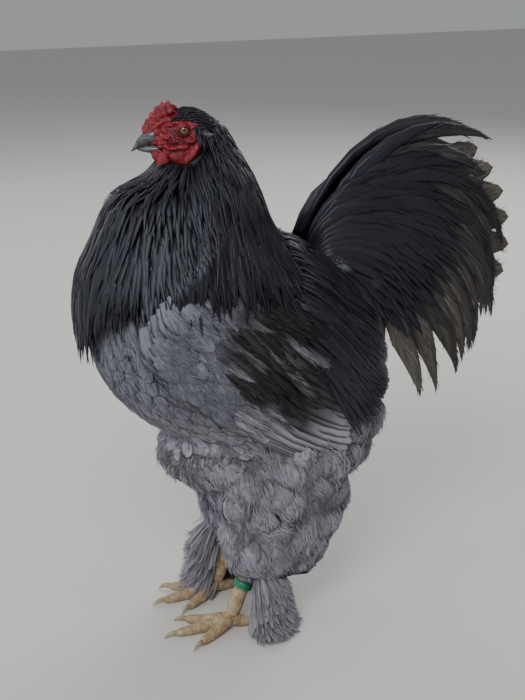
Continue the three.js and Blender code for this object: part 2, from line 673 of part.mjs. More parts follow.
for (const [name, s] of SIDES) {
  const vanes = [];
  WING_TIERS.forEach((tier, row) => {
    for (let n = 0; n < tier.count; n++) {
      const k = n / (tier.count - 1);
      const [from, to] = [tier.root(k), tier.tip(k)];
      const long = 5 * vary(row, n);
      const at = (t) => {
        const sag = 5 * Math.sin(Math.PI * Math.min(1, Math.max(0, t)));
        const a = lerp(from[0], to[0] + long, t);
        const b = lerp(from[1], to[1], t) - sag;
        const p = wingAt(a, b, lerp(tier.off[0], tier.off[1], ease(t * 1.8)));
        p.x *= s;
        return p;
      };
      const facing = (t, p) => {
        const q = new THREE.Vector3(Math.abs(p.x), p.y, p.z);
        const [a, b] = [wingAlong(q.y, q.z), wingAcross(q.y, q.z)];
        const da = wingAt(a + 4, b, 3).sub(wingAt(a - 4, b, 3));
        const db = wingAt(a, b + 4, 3).sub(wingAt(a, b - 4, 3));
        const n = new THREE.Vector3().crossVectors(da, db).normalize();
        if (n.x < 0) n.negate();
        n.x *= s;
        return n;
      };
      vanes.push(vane(at, facing, { wide: tier.wide, thick: 1.3, cup: 0.04, roll: -8 * s }));
    }
  });
  const shape = cut(joined([wingPad(s), ...vanes]), torsoRoom, neckRoom, bellyRoom, legRooms[s > 0 ? 0 : 1]);
  show(`wing_${name}`, shape, materials.plumageGrey);
}

// A point over the torso at y and at angle turn down from the spine, off above it
function overBack(y, turn, off) {
  const { mid, tall, wide, round } = bodyRadii(y);
  const a = THREE.MathUtils.degToRad(turn);
  const p = new THREE.Vector3(wide * round * Math.sin(a), y, mid + tall * round * Math.cos(a));
  return p.addScaledVector(outside(p).normal, off);
}

// Saddle: a band over the back, and locks that flow back and down from it over wings and tail base
const saddlePad = (grow) =>
  wrapped(12, 14, (u, v) => {
    const r = Math.sin(Math.PI * v) ** 0.6;
    const more = v > 0.001 && v < 0.999 ? grow : 0;
    return overBack(103 + (19 * r + more) * Math.cos(u), lerp(-78, 78, v), 1 + (6 * r + more) * Math.sin(u));
  });
const SADDLE = [
  { y: 116, turns: [46, 76], count: 4, long: 62, fall: 36, off: 8, wide: 24 },
  { y: 104, turns: [30, 74], count: 5, long: 74, fall: 40, off: 12, wide: 25 },
  { y: 90, turns: [10, 70], count: 6, long: 84, fall: 42, off: 16, wide: 26 },
];
const tailBase = (grow) => blob([0, 170, 466], [62, 54, 46], { around: 12, rings: 7, grow });
const saddleLocks = [];
for (const [, s] of SIDES) {
  SADDLE.forEach((tier, row) => {
    for (let n = 0; n < tier.count; n++) {
      const k = n / (tier.count - 1);
      const from = lerp(...tier.turns, k);
      const reach = tier.long * (0.28 + 0.72 * ease((from - 12) / 40)) + 5 * vary(row + 20, n);
      const at = (t) => {
        const y = tier.y + reach * t;
        const p = overBack(y, s * (from + tier.fall * Math.max(0, t) ** 1.3 * (0.35 + 0.65 * k)), 0);
        const off = lerp(2, tier.off + (n % 2 ? 1.6 : 0), ease(t * 1.6));
        p.addScaledVector(outside(p).normal, off);
        return clear(p, 1.5 + (row * 2.6 + (n % 2 ? 1.6 : 0)) * ease(t * 2));
      };
      const facing = (t, p) => outside(p).normal;
      saddleLocks.push(vane(at, facing, { wide: tier.wide, thick: 1.4, cup: 0.08 }));
    }
  });
}
const wingRooms = SIDES.map(([, s]) => wingPad(s, GAP));
show(
  "saddle",
  cut(joined([saddlePad(0), ...saddleLocks]), torsoRoom, neckRoom, tailBase(7), ...wingRooms),
  materials.plumageDark,
);

// Tail: a base behind the back, straight feathers near the middle, and sickles and coverts that arch over them,
// each in its own layer away from the middle
function arc({ root, start, bend, long }) {
  const points = [new THREE.Vector2(...root)];
  const steps = 48;
  for (let i = 0; i < steps; i++) {
    const a = THREE.MathUtils.degToRad(start - bend * ((i + 0.5) / steps) ** 1.1);
    points.push(points[i].clone().add(new THREE.Vector2(Math.cos(a), Math.sin(a)).multiplyScalar(long / steps)));
  }
  return (t) => {
    const x = Math.min(Math.max(t, 0), 1) * steps;
    const i = Math.min(Math.floor(x), steps - 1);
    const p = points[i].clone().lerp(points[i + 1], x - i);
    if (t < 0) p.addScaledVector(points[1].clone().sub(points[0]), t * steps);
    if (t > 1) p.addScaledVector(points[steps].clone().sub(points[steps - 1]), (t - 1) * steps);
    return p;
  };
}
const SICKLES = {
  count: 12,
  start: [[0, 67], [0.25, 56], [0.65, 12], [1, -36]],
  bend: [[0, 91], [0.25, 152], [0.65, 104], [1, 52]],
  long: [[0, 288], [0.25, 340], [0.65, 272], [1, 202]],
  rootY: [[0, 128], [0.6, 132], [1, 138]],
  rootZ: [[0, 500], [0.25, 492], [0.65, 480], [1, 468]],
  rootX: [[0, 18], [1, 47]],
  tipX: [[0, 22], [0.25, 40], [0.65, 66], [1, 90]],
};
const tailVanes = [];
for (const [, s] of SIDES) {
  for (let n = 0; n < 7; n++) {
    const path = arc({ root: [138, 482 - 3 * n], start: 34 - 7 * n, bend: 16, long: 278 - 2 * (n - 3.5) ** 2 });
    const at = (t) => {
      const q = path(t);
      return new THREE.Vector3(s * (2.2 + 2.1 * n + 2 * t), q.x, q.y);
    };
    const look = { wide: 37, thick: 1.3, cup: 0.03, full: 0.6, ends: 0.93, tip: 0.62 };
    tailVanes.push(vane(at, () => new THREE.Vector3(s, 0, 0), look));
  }
  for (let n = 0; n < SICKLES.count; n++) {
    const q = n / (SICKLES.count - 1);
    const path = arc({
      root: [along(SICKLES.rootY, q), along(SICKLES.rootZ, q)],
      start: along(SICKLES.start, q),
      bend: along(SICKLES.bend, q) + 4 * vary(40, n),
      long: along(SICKLES.long, q) * (1 + 0.04 * vary(41, n)),
    });
    const at = (t) => {
      const p2 = path(t);
      const x = lerp(along(SICKLES.rootX, q), along(SICKLES.tipX, q), ease(t * 0.9));
      const p = new THREE.Vector3(s * x, p2.x, p2.y);
      const margin = 2 + Math.max(0, n - 6) * 1.9;
      const { distance, normal } = outside(p);
      if (t > 0.12 && distance < margin) p.addScaledVector(normal, margin - distance);
      return p;
    };
    const look = { wide: 30, thick: 1.3, cup: 0.03, rings: 5, full: 0.35, ends: 0.88, tip: 0.5 };
    tailVanes.push(vane(at, () => new THREE.Vector3(s, 0, 0), look));
  }
}
show(
  "tail",
  cut(joined([tailBase(0), ...tailVanes]), torsoRoom, bellyRoom, saddlePad(GAP), ...wingRooms),
  materials.plumageDark,
);

// Origin under the middle of the whole bird
const bounds = new THREE.Box3().setFromObject(root);
const middle = bounds.getCenter(new THREE.Vector3());
root.position.set(-middle.x, -middle.y, -bounds.min.z);

export default root;
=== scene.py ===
import bpy
import numpy as np
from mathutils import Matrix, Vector


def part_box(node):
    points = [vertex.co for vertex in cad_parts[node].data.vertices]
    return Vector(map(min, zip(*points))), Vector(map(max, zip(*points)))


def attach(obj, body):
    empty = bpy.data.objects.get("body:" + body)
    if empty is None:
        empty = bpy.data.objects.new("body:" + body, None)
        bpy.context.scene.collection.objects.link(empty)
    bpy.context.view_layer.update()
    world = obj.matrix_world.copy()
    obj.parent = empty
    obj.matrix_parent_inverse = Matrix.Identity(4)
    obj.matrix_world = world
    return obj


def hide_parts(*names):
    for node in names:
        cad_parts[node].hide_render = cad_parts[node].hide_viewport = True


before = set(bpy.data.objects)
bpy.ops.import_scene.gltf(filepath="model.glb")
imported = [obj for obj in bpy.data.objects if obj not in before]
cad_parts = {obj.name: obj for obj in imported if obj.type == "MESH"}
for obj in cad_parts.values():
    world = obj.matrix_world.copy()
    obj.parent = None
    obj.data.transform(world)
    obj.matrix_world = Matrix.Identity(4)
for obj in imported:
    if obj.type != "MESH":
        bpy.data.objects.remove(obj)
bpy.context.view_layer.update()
rng = np.random.default_rng(11)

TORSO_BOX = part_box("torso")
SHIFT = np.array([0.0, 500.0 * (TORSO_BOX[0][1] + TORSO_BOX[1][1]) - 28.5, 0.0])

# Driving shapes, as in the solids, but slimmer at the bell's front and in some lobes of the thighs
BREAST_Y, VENT_Y, FULL = -158.0, 215.0, 3.0
BODY = {
    "mid": [(-158, 428), (-60, 398), (40, 366), (130, 350), (215, 336)],
    "tall": [(-158, 126), (-60, 136), (40, 140), (130, 134), (215, 116)],
    "wide": [(-158, 106), (-60, 114), (40, 116), (130, 107), (215, 86)],
}
BELL = {
    "mid": [(395, -40), (470, -40), (545, -36), (594, -32), (650, -28)],
    "front": [(395, 124), (430, 125), (470, 121), (505, 109), (545, 104), (570, 92), (590, 54), (620, 33),
              (650, 26)],
    "back": [(395, 130), (470, 121), (505, 110), (545, 96), (570, 86), (594, 73), (620, 56), (650, 36)],
    "side": [(395, 120), (430, 117), (470, 109), (505, 97), (545, 83), (570, 71), (594, 56), (620, 40),
             (650, 27)],
}
HEAD_AT = np.array([0.0, -38.0, 642.0])
HEAD_TURN, HEAD_NOD = np.radians(-15), np.radians(1)
HEAD = {
    "mid": [(-40, -6), (-15, -1), (5, -2), (25, -6), (46, -10)],
    "tall": [(-40, 23), (-18, 25), (3, 27), (25, 20), (46, 13)],
    "wide": [(-40, 24), (-15, 24), (5, 21), (25, 15), (46, 10)],
}
HEAD_FULL, HEAD_MIDDLE, HEAD_HALF = 2.6, 3, 43
EYE = {"fore": 2.5, "out": 18.4, "up": 3.0, "r": 8.2}
FLUFF = [(0, 146, 262, 82, 64, 72), (0, 75, 222, 90, 90, 52), (0, -5, 232, 80, 68, 40)]
RUMP_TUFT = (0, 200, 334, 34, 22, 34)
THIGH = [
    (62, 92, 232, 46, 62, 50),
    (60, 54, 190, 45, 70, 56),
    (58, 108, 166, 32, 44, 46),
    (58, 50, 136, 38, 56, 48),
    (58, 92, 110, 25, 32, 36),
    (56, 42, 101, 31, 42, 33),
]
FOOT_Y = {1: -5.0, -1: 10.0}
LEG_X = 47.0
WING_Y, WING_Z, WING_SLOPE, WING_LONG, WING_HANG = -88.0, 460.0, np.radians(42.7), 308.0, 112.0


def along(rows, x):
    """Smooth value at x from rows of (position, value): cubics through them, level past both ends."""
    px, py = np.array(rows, float).T
    x = np.clip(np.asarray(x, float), px[0], px[-1])
    i = np.clip(np.searchsorted(px, x, side="right") - 1, 0, len(px) - 2)
    k = np.arange(len(px))
    lo, hi = np.maximum(k - 1, 0), np.minimum(k + 1, len(px) - 1)
    slope = (py[hi] - py[lo]) / (px[hi] - px[lo])
    w = px[i + 1] - px[i]
    t = (x - px[i]) / w
    fall = (1 + 2 * t) * (1 - t) ** 2
    return fall * py[i] + (1 - fall) * py[i + 1] + t * (1 - t) * w * ((1 - t) * slope[i] - t * slope[i + 1])


def ease(t):
    """Rises from 0 to 1 as t goes from 0 to 1, level at both ends."""
    t = np.clip(t, 0, 1)
    return t * t * (3 - 2 * t)


def unit(v):
    """Vectors scaled to length 1."""
    return v / np.maximum(np.linalg.norm(v, axis=-1, keepdims=True), 1e-9)


def mix(a, b, t):
    """a where t is 0, b where t is 1."""
    return a + (b - a) * t


# Surfaces: each field is about the distance in millimetres, below 0 inside
def body_radii(y):
    """Middle, half height, half width and end rounding of the torso at y."""
    t = (2 * (y - BREAST_Y)) / (VENT_Y - BREAST_Y) - 1
    round_ = np.maximum(0, 1 - np.abs(t) ** FULL) ** (1 / FULL)
    return along(BODY["mid"], y), along(BODY["tall"], y), along(BODY["wide"], y), round_


def torso(p):
    """Superellipsoid egg: half height and width from tables along y, ends rounded with power FULL."""
    mid, tall, wide, _ = body_radii(p[..., 1])
    t = (2 * (p[..., 1] - BREAST_Y)) / (VENT_Y - BREAST_Y) - 1
    q = np.hypot(p[..., 0] / wide, (p[..., 2] - mid) / tall)
    return 115 * ((q**FULL + np.abs(t) ** FULL) ** (1 / FULL) - 1)


def bell(p):
    """The hackle's bell: at each height an ellipse with its own reach to the front, back and sides."""
    y = p[..., 1] - along(BELL["mid"], p[..., 2])
    reach = np.where(y < 0, along(BELL["front"], p[..., 2]), along(BELL["back"], p[..., 2]))
    return 70 * (np.hypot(p[..., 0] / along(BELL["side"], p[..., 2]), y / reach) - 1)


def blended(fields, soft):
    """Several fields melted together: minus soft times the log of the sum of exp(-field / soft)."""
    return lambda p: -soft * np.log(sum(np.exp(-np.clip(f(p) / soft, -60, 60)) for f in fields))


def lobe(x, y, z, a, b, c):
    """The field of one ellipsoid."""
    size = min(a, b, c)
    return lambda p: size * (np.sqrt(((p[..., 0] - x) / a) ** 2 + ((p[..., 1] - y) / b) ** 2
                                     + ((p[..., 2] - z) / c) ** 2) - 1)


def near(field, p, h=0.5):
    """Distance from a field's surface and the way out, from its steepness by central differences."""
    here = field(p)
    slope = np.stack([field(p + s) - field(p - s) for s in np.eye(3) * h], -1) / (2 * h)
    steep = np.maximum(np.linalg.norm(slope, axis=-1), 0.15)
    return here / steep, unit(slope)


def on_head(p):
    """Points given as fore, out and up on the head, turned and set on the neck."""
    x, y, z = p[..., 1], -p[..., 0], p[..., 2]
    y, z = y * np.cos(HEAD_NOD) - z * np.sin(HEAD_NOD), y * np.sin(HEAD_NOD) + z * np.cos(HEAD_NOD)
    x, y = x * np.cos(HEAD_TURN) - y * np.sin(HEAD_TURN), x * np.sin(HEAD_TURN) + y * np.cos(HEAD_TURN)
    return np.stack([x, y, z], -1) + HEAD_AT


def off_head(p):
    """The reverse of on_head."""
    x, y, z = np.moveaxis(p - HEAD_AT, -1, 0)
    x, y = x * np.cos(HEAD_TURN) + y * np.sin(HEAD_TURN), -x * np.sin(HEAD_TURN) + y * np.cos(HEAD_TURN)
    y, z = y * np.cos(HEAD_NOD) + z * np.sin(HEAD_NOD), -y * np.sin(HEAD_NOD) + z * np.cos(HEAD_NOD)
    return np.stack([-y, x, z], -1)


def skull(p):
    """The head's egg, with power HEAD_FULL, in the head's own directions."""
    fore, out, up = np.moveaxis(off_head(p), -1, 0)
    t = (fore - HEAD_MIDDLE) / HEAD_HALF
    q = np.hypot(out / along(HEAD["wide"], fore),
                 (up - along(HEAD["mid"], fore)) / along(HEAD["tall"], fore))
    return 25 * ((q**HEAD_FULL + np.abs(t) ** HEAD_FULL) ** (1 / HEAD_FULL) - 1)


def wing_ab(y, z):
    """Distance along the folded wing from the shoulder, and across it."""
    y, z = y - WING_Y, z - WING_Z
    return y * np.cos(WING_SLOPE) - z * np.sin(WING_SLOPE), y * np.sin(WING_SLOPE) + z * np.cos(WING_SLOPE)


def wing_point(a, b, off, side):
    """A point of the wing's face at (a, b) in its own directions, off above the flank."""
    y = WING_Y + a * np.cos(WING_SLOPE) + b * np.sin(WING_SLOPE)
    z = WING_Z - a * np.sin(WING_SLOPE) + b * np.cos(WING_SLOPE)
    mid, tall, wide, round_ = body_radii(y)
    q = np.maximum(round_**2 - ((z - mid) / tall) ** 2, 1e-4)
    p = np.stack([wide * np.sqrt(q), y, z], -1)
    _, n = near(torso, p)
    p = p + n * np.asarray(off)[..., None]
    hang = WING_HANG - 6 - np.maximum(0, y - 60) * 0.1 - 16 * ease((b - 35) / 60)
    x = np.maximum(p[..., 0], hang + off)
    return np.stack([x * side, p[..., 1], p[..., 2]], -1)


def thigh_rows(side):
    """The leg's lobes on one side."""
    return [(x * side, y + FOOT_Y[side], z, a, b, c) for x, y, z, a, b, c in THIGH]


BELLY_FIELD = blended([torso] + [lobe(*row) for row in FLUFF], 9)
LEG_FIELD = {side: blended([lobe(*row) for row in thigh_rows(side)] + [lobe(*row) for row in FLUFF[:2]],
                           6) for side in (1, -1)}
SHOULDER_FIELD = blended([torso, bell], 12)


# Meshes
def place(points):
    """Millimetres from between the feet to metres in the frame."""
    return (np.asarray(points, float) + SHIFT) * 0.001


def mesh_object(name, points, loops, starts, uvs=None, tint=None):
    """One mesh from a flat list of corners; uvs maps a name to (points, 2), tint is (points, 4)."""
    mesh = bpy.data.meshes.new(name)
    totals = np.diff(np.append(starts, len(loops)))
    mesh.vertices.add(len(points))
    mesh.vertices.foreach_set("co", place(points).ravel())
    mesh.loops.add(len(loops))
    mesh.loops.foreach_set("vertex_index", loops.astype(np.int32))
    mesh.polygons.add(len(starts))
    mesh.polygons.foreach_set("loop_start", starts.astype(np.int32))
    mesh.polygons.foreach_set("loop_total", totals.astype(np.int32))
    mesh.polygons.foreach_set("use_smooth", np.full(len(starts), True))
    for key, uv in (uvs or {}).items():
        layer = mesh.uv_layers.new(name=key)
        layer.data.foreach_set("uv", uv[loops].astype(np.float32).ravel())
    if tint is not None:
        layer = mesh.color_attributes.new("tint", "FLOAT_COLOR", "POINT")
        layer.data.foreach_set("color", tint.astype(np.float32).ravel())
    mesh.update(calc_edges=True)
    mesh.validate()
    obj = bpy.data.objects.new(name, mesh)
    bpy.context.scene.collection.objects.link(obj)
    return obj


def ball_faces(around, rings):
    """Corners of a closed surface of rings circles of around points with a pole point at each end."""
    i = np.arange(around)
    j = (i + 1) % around
    quads = []
    for r in range(rings - 1):
        quads.append(np.stack([1 + r * around + i, 1 + r * around + j, 1 + (r + 1) * around + j,
                               1 + (r + 1) * around + i], -1))
    quads = np.concatenate(quads)
    last = 1 + rings * around
    base = 1 + (rings - 1) * around
    caps = np.concatenate([np.stack([0 * i, 1 + j, 1 + i], -1),
                           np.stack([0 * i + last, base + i, base + j], -1)])
    loops = np.concatenate([quads.ravel(), caps.ravel()])
    starts = np.concatenate([np.arange(len(quads)) * 4, 4 * len(quads) + np.arange(len(caps)) * 3])
    return loops, starts


def ball(point, around, rings):
    """A closed surface point(u, v): u goes round from 0 to 2 pi, v from pole 0 to pole 1."""
    u = np.arange(around) * 2 * np.pi / around
    v = np.linspace(0, 1, rings + 2)
    uu, vv = np.meshgrid(u, v[1:-1])
    ring = point(uu, vv).reshape(-1, 3)
    poles = point(np.zeros(2), np.array([0.0, 1.0]))
    return np.concatenate([poles[:1], ring, poles[1:]])


def outward(points, loops, starts):
    """The corners turned over where the surface's volume comes out below zero."""
    totals = np.diff(np.append(starts, len(loops)))
    a, b, c = points[loops[starts]], points[loops[starts + 1]], points[loops[starts + 2]]
    d = points[loops[starts + totals - 1]]
    volume = np.einsum("ij,ij->i", a, np.cross(b, c) + np.cross(c, d) * (totals == 4)[:, None]).sum()
    if volume > 0:
        return loops
    return np.concatenate([part[::-1] for part in np.split(loops, starts[1:])])


def dressed(obj, material, *nodes):
    """The object in its material, carried by the one body, in place of the nodes named."""
    obj.data.materials.append(material)
    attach(obj, "root")
    if nodes:
        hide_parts(*nodes)
    return obj


def closed(name, point, around, rings, tint=None):
    """An object from a ball surface."""
    points = ball(point, around, rings)
    loops, starts = ball_faces(around, rings)
    return mesh_object(name, points, outward(points, loops, starts), starts, tint=tint)


SECTION = np.array([[-1, -0.15], [-0.5, 0.3], [0, 0.5], [0.5, 0.3], [1, -0.15], [0, -0.5]])
HAIR = np.array([[-1, -0.4], [0, 0.6], [1, -0.4]])
ROUND = np.array([0, 0.2, 0.42, 0.62, 0.79, 0.91, 0.975, 1])
LOCK = np.array([0, 0.2, 0.42, 0.64, 0.82, 0.94, 1])
WISP = np.array([0, 0.4, 0.75, 1])
BED = np.array([0, 0.3, 0.56, 0.77, 0.93, 1])


def vanes(path, up, half, thick, cup, stops, section):
    """Closed tapering vanes. path is (n, rings + 1, 3), its last point the tip; up is (n, rings + 1, 3).
    half is (n, rings). Each ring is the section, across the path by half and up by thick, its edges bent down
    by cup."""
    n, rings = half.shape
    k = len(section)
    ahead = unit(np.gradient(path, axis=1))
    up = unit(up - ahead * np.sum(up * ahead, -1, keepdims=True))
    across = np.cross(ahead, up)
    sx, sy = section.T
    lift = (thick[..., None] * sy - cup * half[..., None] * sx**2)[..., None]
    p = path[:, :-1, None] + across[:, :-1, None] * (half[..., None] * sx)[..., None] + up[:, :-1,
                                                                                           None] * lift
    points = np.concatenate([p.reshape(n, rings * k, 3), path[:, -1:]], 1)
    i = np.arange(k)
    j = (i + 1) % k
    quads = np.concatenate([np.stack([r + i, r + j, r + k + j, r + k + i], -1) for r in k
                            * np.arange(rings - 1)])
    last = (rings - 1) * k
    tris = np.stack([last + i, last + j, 0 * i + rings * k], -1)
    one = np.concatenate([quads.ravel(), tris.ravel(), i[::-1]])
    starts = np.concatenate([np.arange(len(quads)) * 4, 4 * len(quads) + 3 * np.arange(k),
                             [4 * len(quads) + 3 * k]])
    size = rings * k + 1
    loops = (one[None] + size * np.arange(n)[:, None]).ravel()
    starts = (starts[None] + len(one) * np.arange(n)[:, None]).ravel()
    s = np.concatenate([np.tile(sx, rings), [0]])
    t = np.concatenate([np.repeat(stops[:-1], k), [1]])
    return points.reshape(-1, 3), loops, starts, np.tile(s, n), np.tile(t, n)


def coat(name, path, up, half, thick, root_uv, colour, material, cup=0.1, stops=LOCK, section=SECTION):
    """One coat piece: vanes, their tint from colour(index, across, along) as base colour and how much darker
    or lighter the rim is, and a small bake patch at each root."""
    n, rings = half.shape
    points, loops, starts, s, t = vanes(path, up, half, np.broadcast_to(thick, half.shape), cup, stops,
                                        section)
    index = np.repeat(np.arange(n), rings * len(section) + 1)
    bake = np.clip(0.004 + 0.992 * root_uv[index], 0.004, 0.996) + np.stack([s, t * 2 - 1], -1) * 0.0015
    vane_uv = np.stack([0.5 + 0.5 * s, 0.98 * t + index % 17], -1)
    obj = mesh_object(name, points, loops, starts, {"OFBake": bake, "Vane": vane_uv}, colour(index, s, t))
    return dressed(obj, material)


def grow(field, roots, flow, long, height, stops):
    """Middle lines that start at roots and follow flow over a field's surface, height(t) above it."""
    p = roots.copy()
    path, ups = [], []
    for t, step in zip(stops, np.append(np.diff(stops), 0)):
        for _ in range(2):
            d, n = near(field, p)
            p = p + n * np.clip(height(t) - d, -25, 25)[:, None]
        path.append(p)
        ups.append(n)
        way = flow(p)
        way = unit(way - n * np.sum(way * n, -1, keepdims=True))
        p = p + way * (np.asarray(long) * step)[:, None]
    return np.stack(path, 1), np.stack(ups, 1)


def rounded(n, stops, wide, root=0.4, ragged=0.0):
    """Half widths of feathers with a round end."""
    t = stops[:-1]
    shape = mix(root, 1, ease(t / 0.45)) * np.sqrt(1 - np.clip((t - 0.5) / 0.5, 0, 1) ** 2.6)
    return 0.5 * np.asarray(wide).reshape(-1, 1) * shape * (1 + ragged * rng.uniform(-1, 1, (n, len(t))))


def pointed(n, stops, wide, root=0.5, full=0.3, ragged=0.0):
    """Half widths of locks that narrow to a point."""
    t = stops[:-1]
    shape = mix(root, 1, ease(t / full)) * (1 - np.clip((t - full) / (1 - full), 0, 1) ** 1.7)
    return 0.5 * np.asarray(wide).reshape(-1, 1) * shape * (1 + ragged * rng.uniform(-1, 1, (n, len(t))))


# Materials
def shader(name, colour, rough, **more):
    """A material of plain values: colour, roughness and whatever other sockets are named."""
    material = bpy.data.materials.new(name)
    material.use_nodes = True
    surface = material.node_tree.nodes["Principled BSDF"]
    surface.inputs["Base Color"].default_value = (*colour, 1)
    surface.inputs["Roughness"].default_value = rough
    for key, value in more.items():
        surface.inputs[key.replace("_", " ")].default_value = value
    return material


def feather_shader(name, rough, streak=0.35, rib=0.0, bump=0.25, **more):
    """Feather material: the piece's own tint, streaked by fine barbs that run out and forward from the rib.
    The tint's fourth value is how light the rim is against the middle."""
    material = shader(name, (0.1, 0.1, 0.1), rough, **more)
    nodes, links = material.node_tree.nodes, material.node_tree.links

    def maths(operation, first, second, third=None):
        """A math node of links or plain values."""
        node = nodes.new("ShaderNodeMath")
        node.operation = operation
        for socket, value in zip(node.inputs, (first, second, third)):
            if isinstance(value, (int, float)):
                socket.default_value = value
            elif value is not None:
                links.new(value, socket)
        return node.outputs[0]

    def between(value, low, high, to_low, to_high):
        """A value carried smoothly from one range to another."""
        node = nodes.new("ShaderNodeMapRange")
        node.interpolation_type = "SMOOTHSTEP"
        links.new(value, node.inputs["Value"])
        for key, number in zip(("From Min", "From Max", "To Min", "To Max"), (low, high, to_low, to_high)):
            if isinstance(number, (int, float)):
                node.inputs[key].default_value = number
            else:
                links.new(number, node.inputs[key])
        return node.outputs[0]

    tint = nodes.new("ShaderNodeAttribute")
    tint.attribute_name = "tint"
    uv = nodes.new("ShaderNodeUVMap")
    uv.uv_map = "Vane"
    split = nodes.new("ShaderNodeSeparateXYZ")
    links.new(uv.outputs["UV"], split.inputs[0])
    side = maths("SUBTRACT", split.outputs[0], 0.5)
    away = maths("ABSOLUTE", side, 0)
    joined = nodes.new("ShaderNodeCombineXYZ")
    links.new(maths("MULTIPLY_ADD", away, -0.55, split.outputs[1]), joined.inputs[0])
    links.new(side, joined.inputs[1])
    scale = nodes.new("ShaderNodeMapping")
    scale.inputs["Scale"].default_value = (46, 3, 1)
    links.new(joined.outputs[0], scale.inputs["Vector"])
    barbs = nodes.new("ShaderNodeTexNoise")
    barbs.inputs["Scale"].default_value = 1.0
    barbs.inputs["Detail"].default_value = 3
    links.new(scale.outputs[0], barbs.inputs["Vector"])
    ahead = maths("POWER", maths("FRACT", split.outputs[1], 0), 9)
    rim = maths("MAXIMUM", maths("MULTIPLY", away, 2), ahead)
    light = between(barbs.outputs["Fac"], 0.3, 0.7, 1 - streak, 1 + streak)
    light = maths("MULTIPLY", light, between(rim, 0.66, 0.95, 1.0, tint.outputs["Alpha"]))
    light = maths("MULTIPLY", light, between(away, 0.012, 0.05, 1.0 + rib, 1.0))
    blend = nodes.new("ShaderNodeVectorMath")
    blend.operation = "SCALE"
    links.new(tint.outputs["Color"], blend.inputs[0])
    links.new(light, blend.inputs["Scale"])
    surface = nodes["Principled BSDF"]
    links.new(blend.outputs[0], surface.inputs["Base Color"])
    relief = nodes.new("ShaderNodeBump")
    relief.inputs["Strength"].default_value = bump
    relief.inputs["Distance"].default_value = 0.0006
    links.new(barbs.outputs["Fac"], relief.inputs["Height"])
    links.new(relief.outputs[0], surface.inputs["Normal"])
    return material


def vary_shader(name, colour, other, rough, scale, depth, bump, **more):
    """Plain material mottled between two colours by noise in the piece's own space, with a fine relief."""
    material = shader(name, colour, rough, **more)
    nodes, links = material.node_tree.nodes, material.node_tree.links
    surface = nodes["Principled BSDF"]
    where = nodes.new("ShaderNodeTexCoord")
    noise = nodes.new("ShaderNodeTexNoise")
    noise.inputs["Scale"].default_value = scale
    noise.inputs["Detail"].default_value = 5
    links.new(where.outputs["Object"], noise.inputs["Vector"])
    ramp = nodes.new("ShaderNodeValToRGB")
    ramp.color_ramp.elements[0].position = 0.35
    ramp.color_ramp.elements[1].position = 0.65
    ramp.color_ramp.elements[0].color = (*colour, 1)
    ramp.color_ramp.elements[1].color = (*other, 1)
    links.new(noise.outputs["Fac"], ramp.inputs["Fac"])
    links.new(ramp.outputs["Color"], surface.inputs["Base Color"])
    cells = nodes.new("ShaderNodeTexVoronoi")
    cells.inputs["Scale"].default_value = depth
    links.new(where.outputs["Object"], cells.inputs["Vector"])
    relief = nodes.new("ShaderNodeBump")
    relief.inputs["Strength"].default_value = bump
    relief.inputs["Distance"].default_value = 0.001
    links.new(cells.outputs["Distance"], relief.inputs["Height"])
    links.new(relief.outputs[0], surface.inputs["Normal"])
    return material


TINTED = {"Specular_Tint": (0.8, 0.84, 1.0, 1.0), "Specular_IOR_Level": 0.42}
plumage = feather_shader("plumage", 0.66, streak=0.2, rib=0.12)
gloss = feather_shader("gloss_plumage", 0.43, streak=0.5, rib=0.6, **TINTED)
coverts = feather_shader("covert_plumage", 0.5, streak=0.35, rib=1.4)
down = feather_shader("down", 0.95, streak=0.16, bump=0.1)
under = vary_shader("under_coat", (0.03, 0.03, 0.036), (0.05, 0.05, 0.06), 0.95, 60, 300, 0.3)
flesh = vary_shader("face_flesh", (0.11, 0.003, 0.008), (0.27, 0.01, 0.022), 0.38, 170, 700, 0.7,
                    Subsurface_Weight=0.08, Subsurface_Scale=0.003)
beak_horn = vary_shader("beak_horn", (0.03, 0.032, 0.038), (0.11, 0.11, 0.12), 0.3, 90, 400, 0.08)
claw_horn = vary_shader("claw_horn", (0.4, 0.33, 0.23), (0.22, 0.18, 0.13), 0.45, 150, 500, 0.1)
scale_skin = vary_shader("scale_skin", (0.3, 0.19, 0.085), (0.42, 0.34, 0.23), 0.62, 130, 480, 0.6)
ring_green = shader("ring_green", (0.004, 0.17, 0.085), 0.4)
rim_skin = shader("rim_skin", (0.018, 0.008, 0.008), 0.4)
eye_wet = shader("eye_wet", (0.3, 0.1, 0.02), 0.3, Coat_Weight=1.0, Coat_Roughness=0.02)
colour_node = eye_wet.node_tree.nodes.new("ShaderNodeAttribute")
colour_node.attribute_name = "tint"
eye_wet.node_tree.links.new(colour_node.outputs["Color"],
                            eye_wet.node_tree.nodes["Principled BSDF"].inputs["Base Color"])

BLACK = np.array([0.006, 0.0062, 0.008])
INK = np.array([0.0085, 0.0085, 0.0125])
SLATE = np.array([0.135, 0.138, 0.172])
SLATE_DARK = np.array([0.045, 0.046, 0.056])
LAVENDER = np.array([0.275, 0.272, 0.32])
PALE = np.array([0.33, 0.325, 0.37])
BROWN = np.array([0.016, 0.0145, 0.0155])
OLIVE = np.array([0.115, 0.105, 0.088])


def scatter(count, ways=3, seed=0):
    """Evenly spread steady numbers in 0..1, ways of them for each of count."""
    root_of = {1: 1.618034, 2: 1.324718, 3: 1.220744}[ways]
    steps = (1 / root_of) ** np.arange(1, ways + 1)
    return (0.5 + seed * 0.37 + np.arange(count)[:, None] * steps) % 1


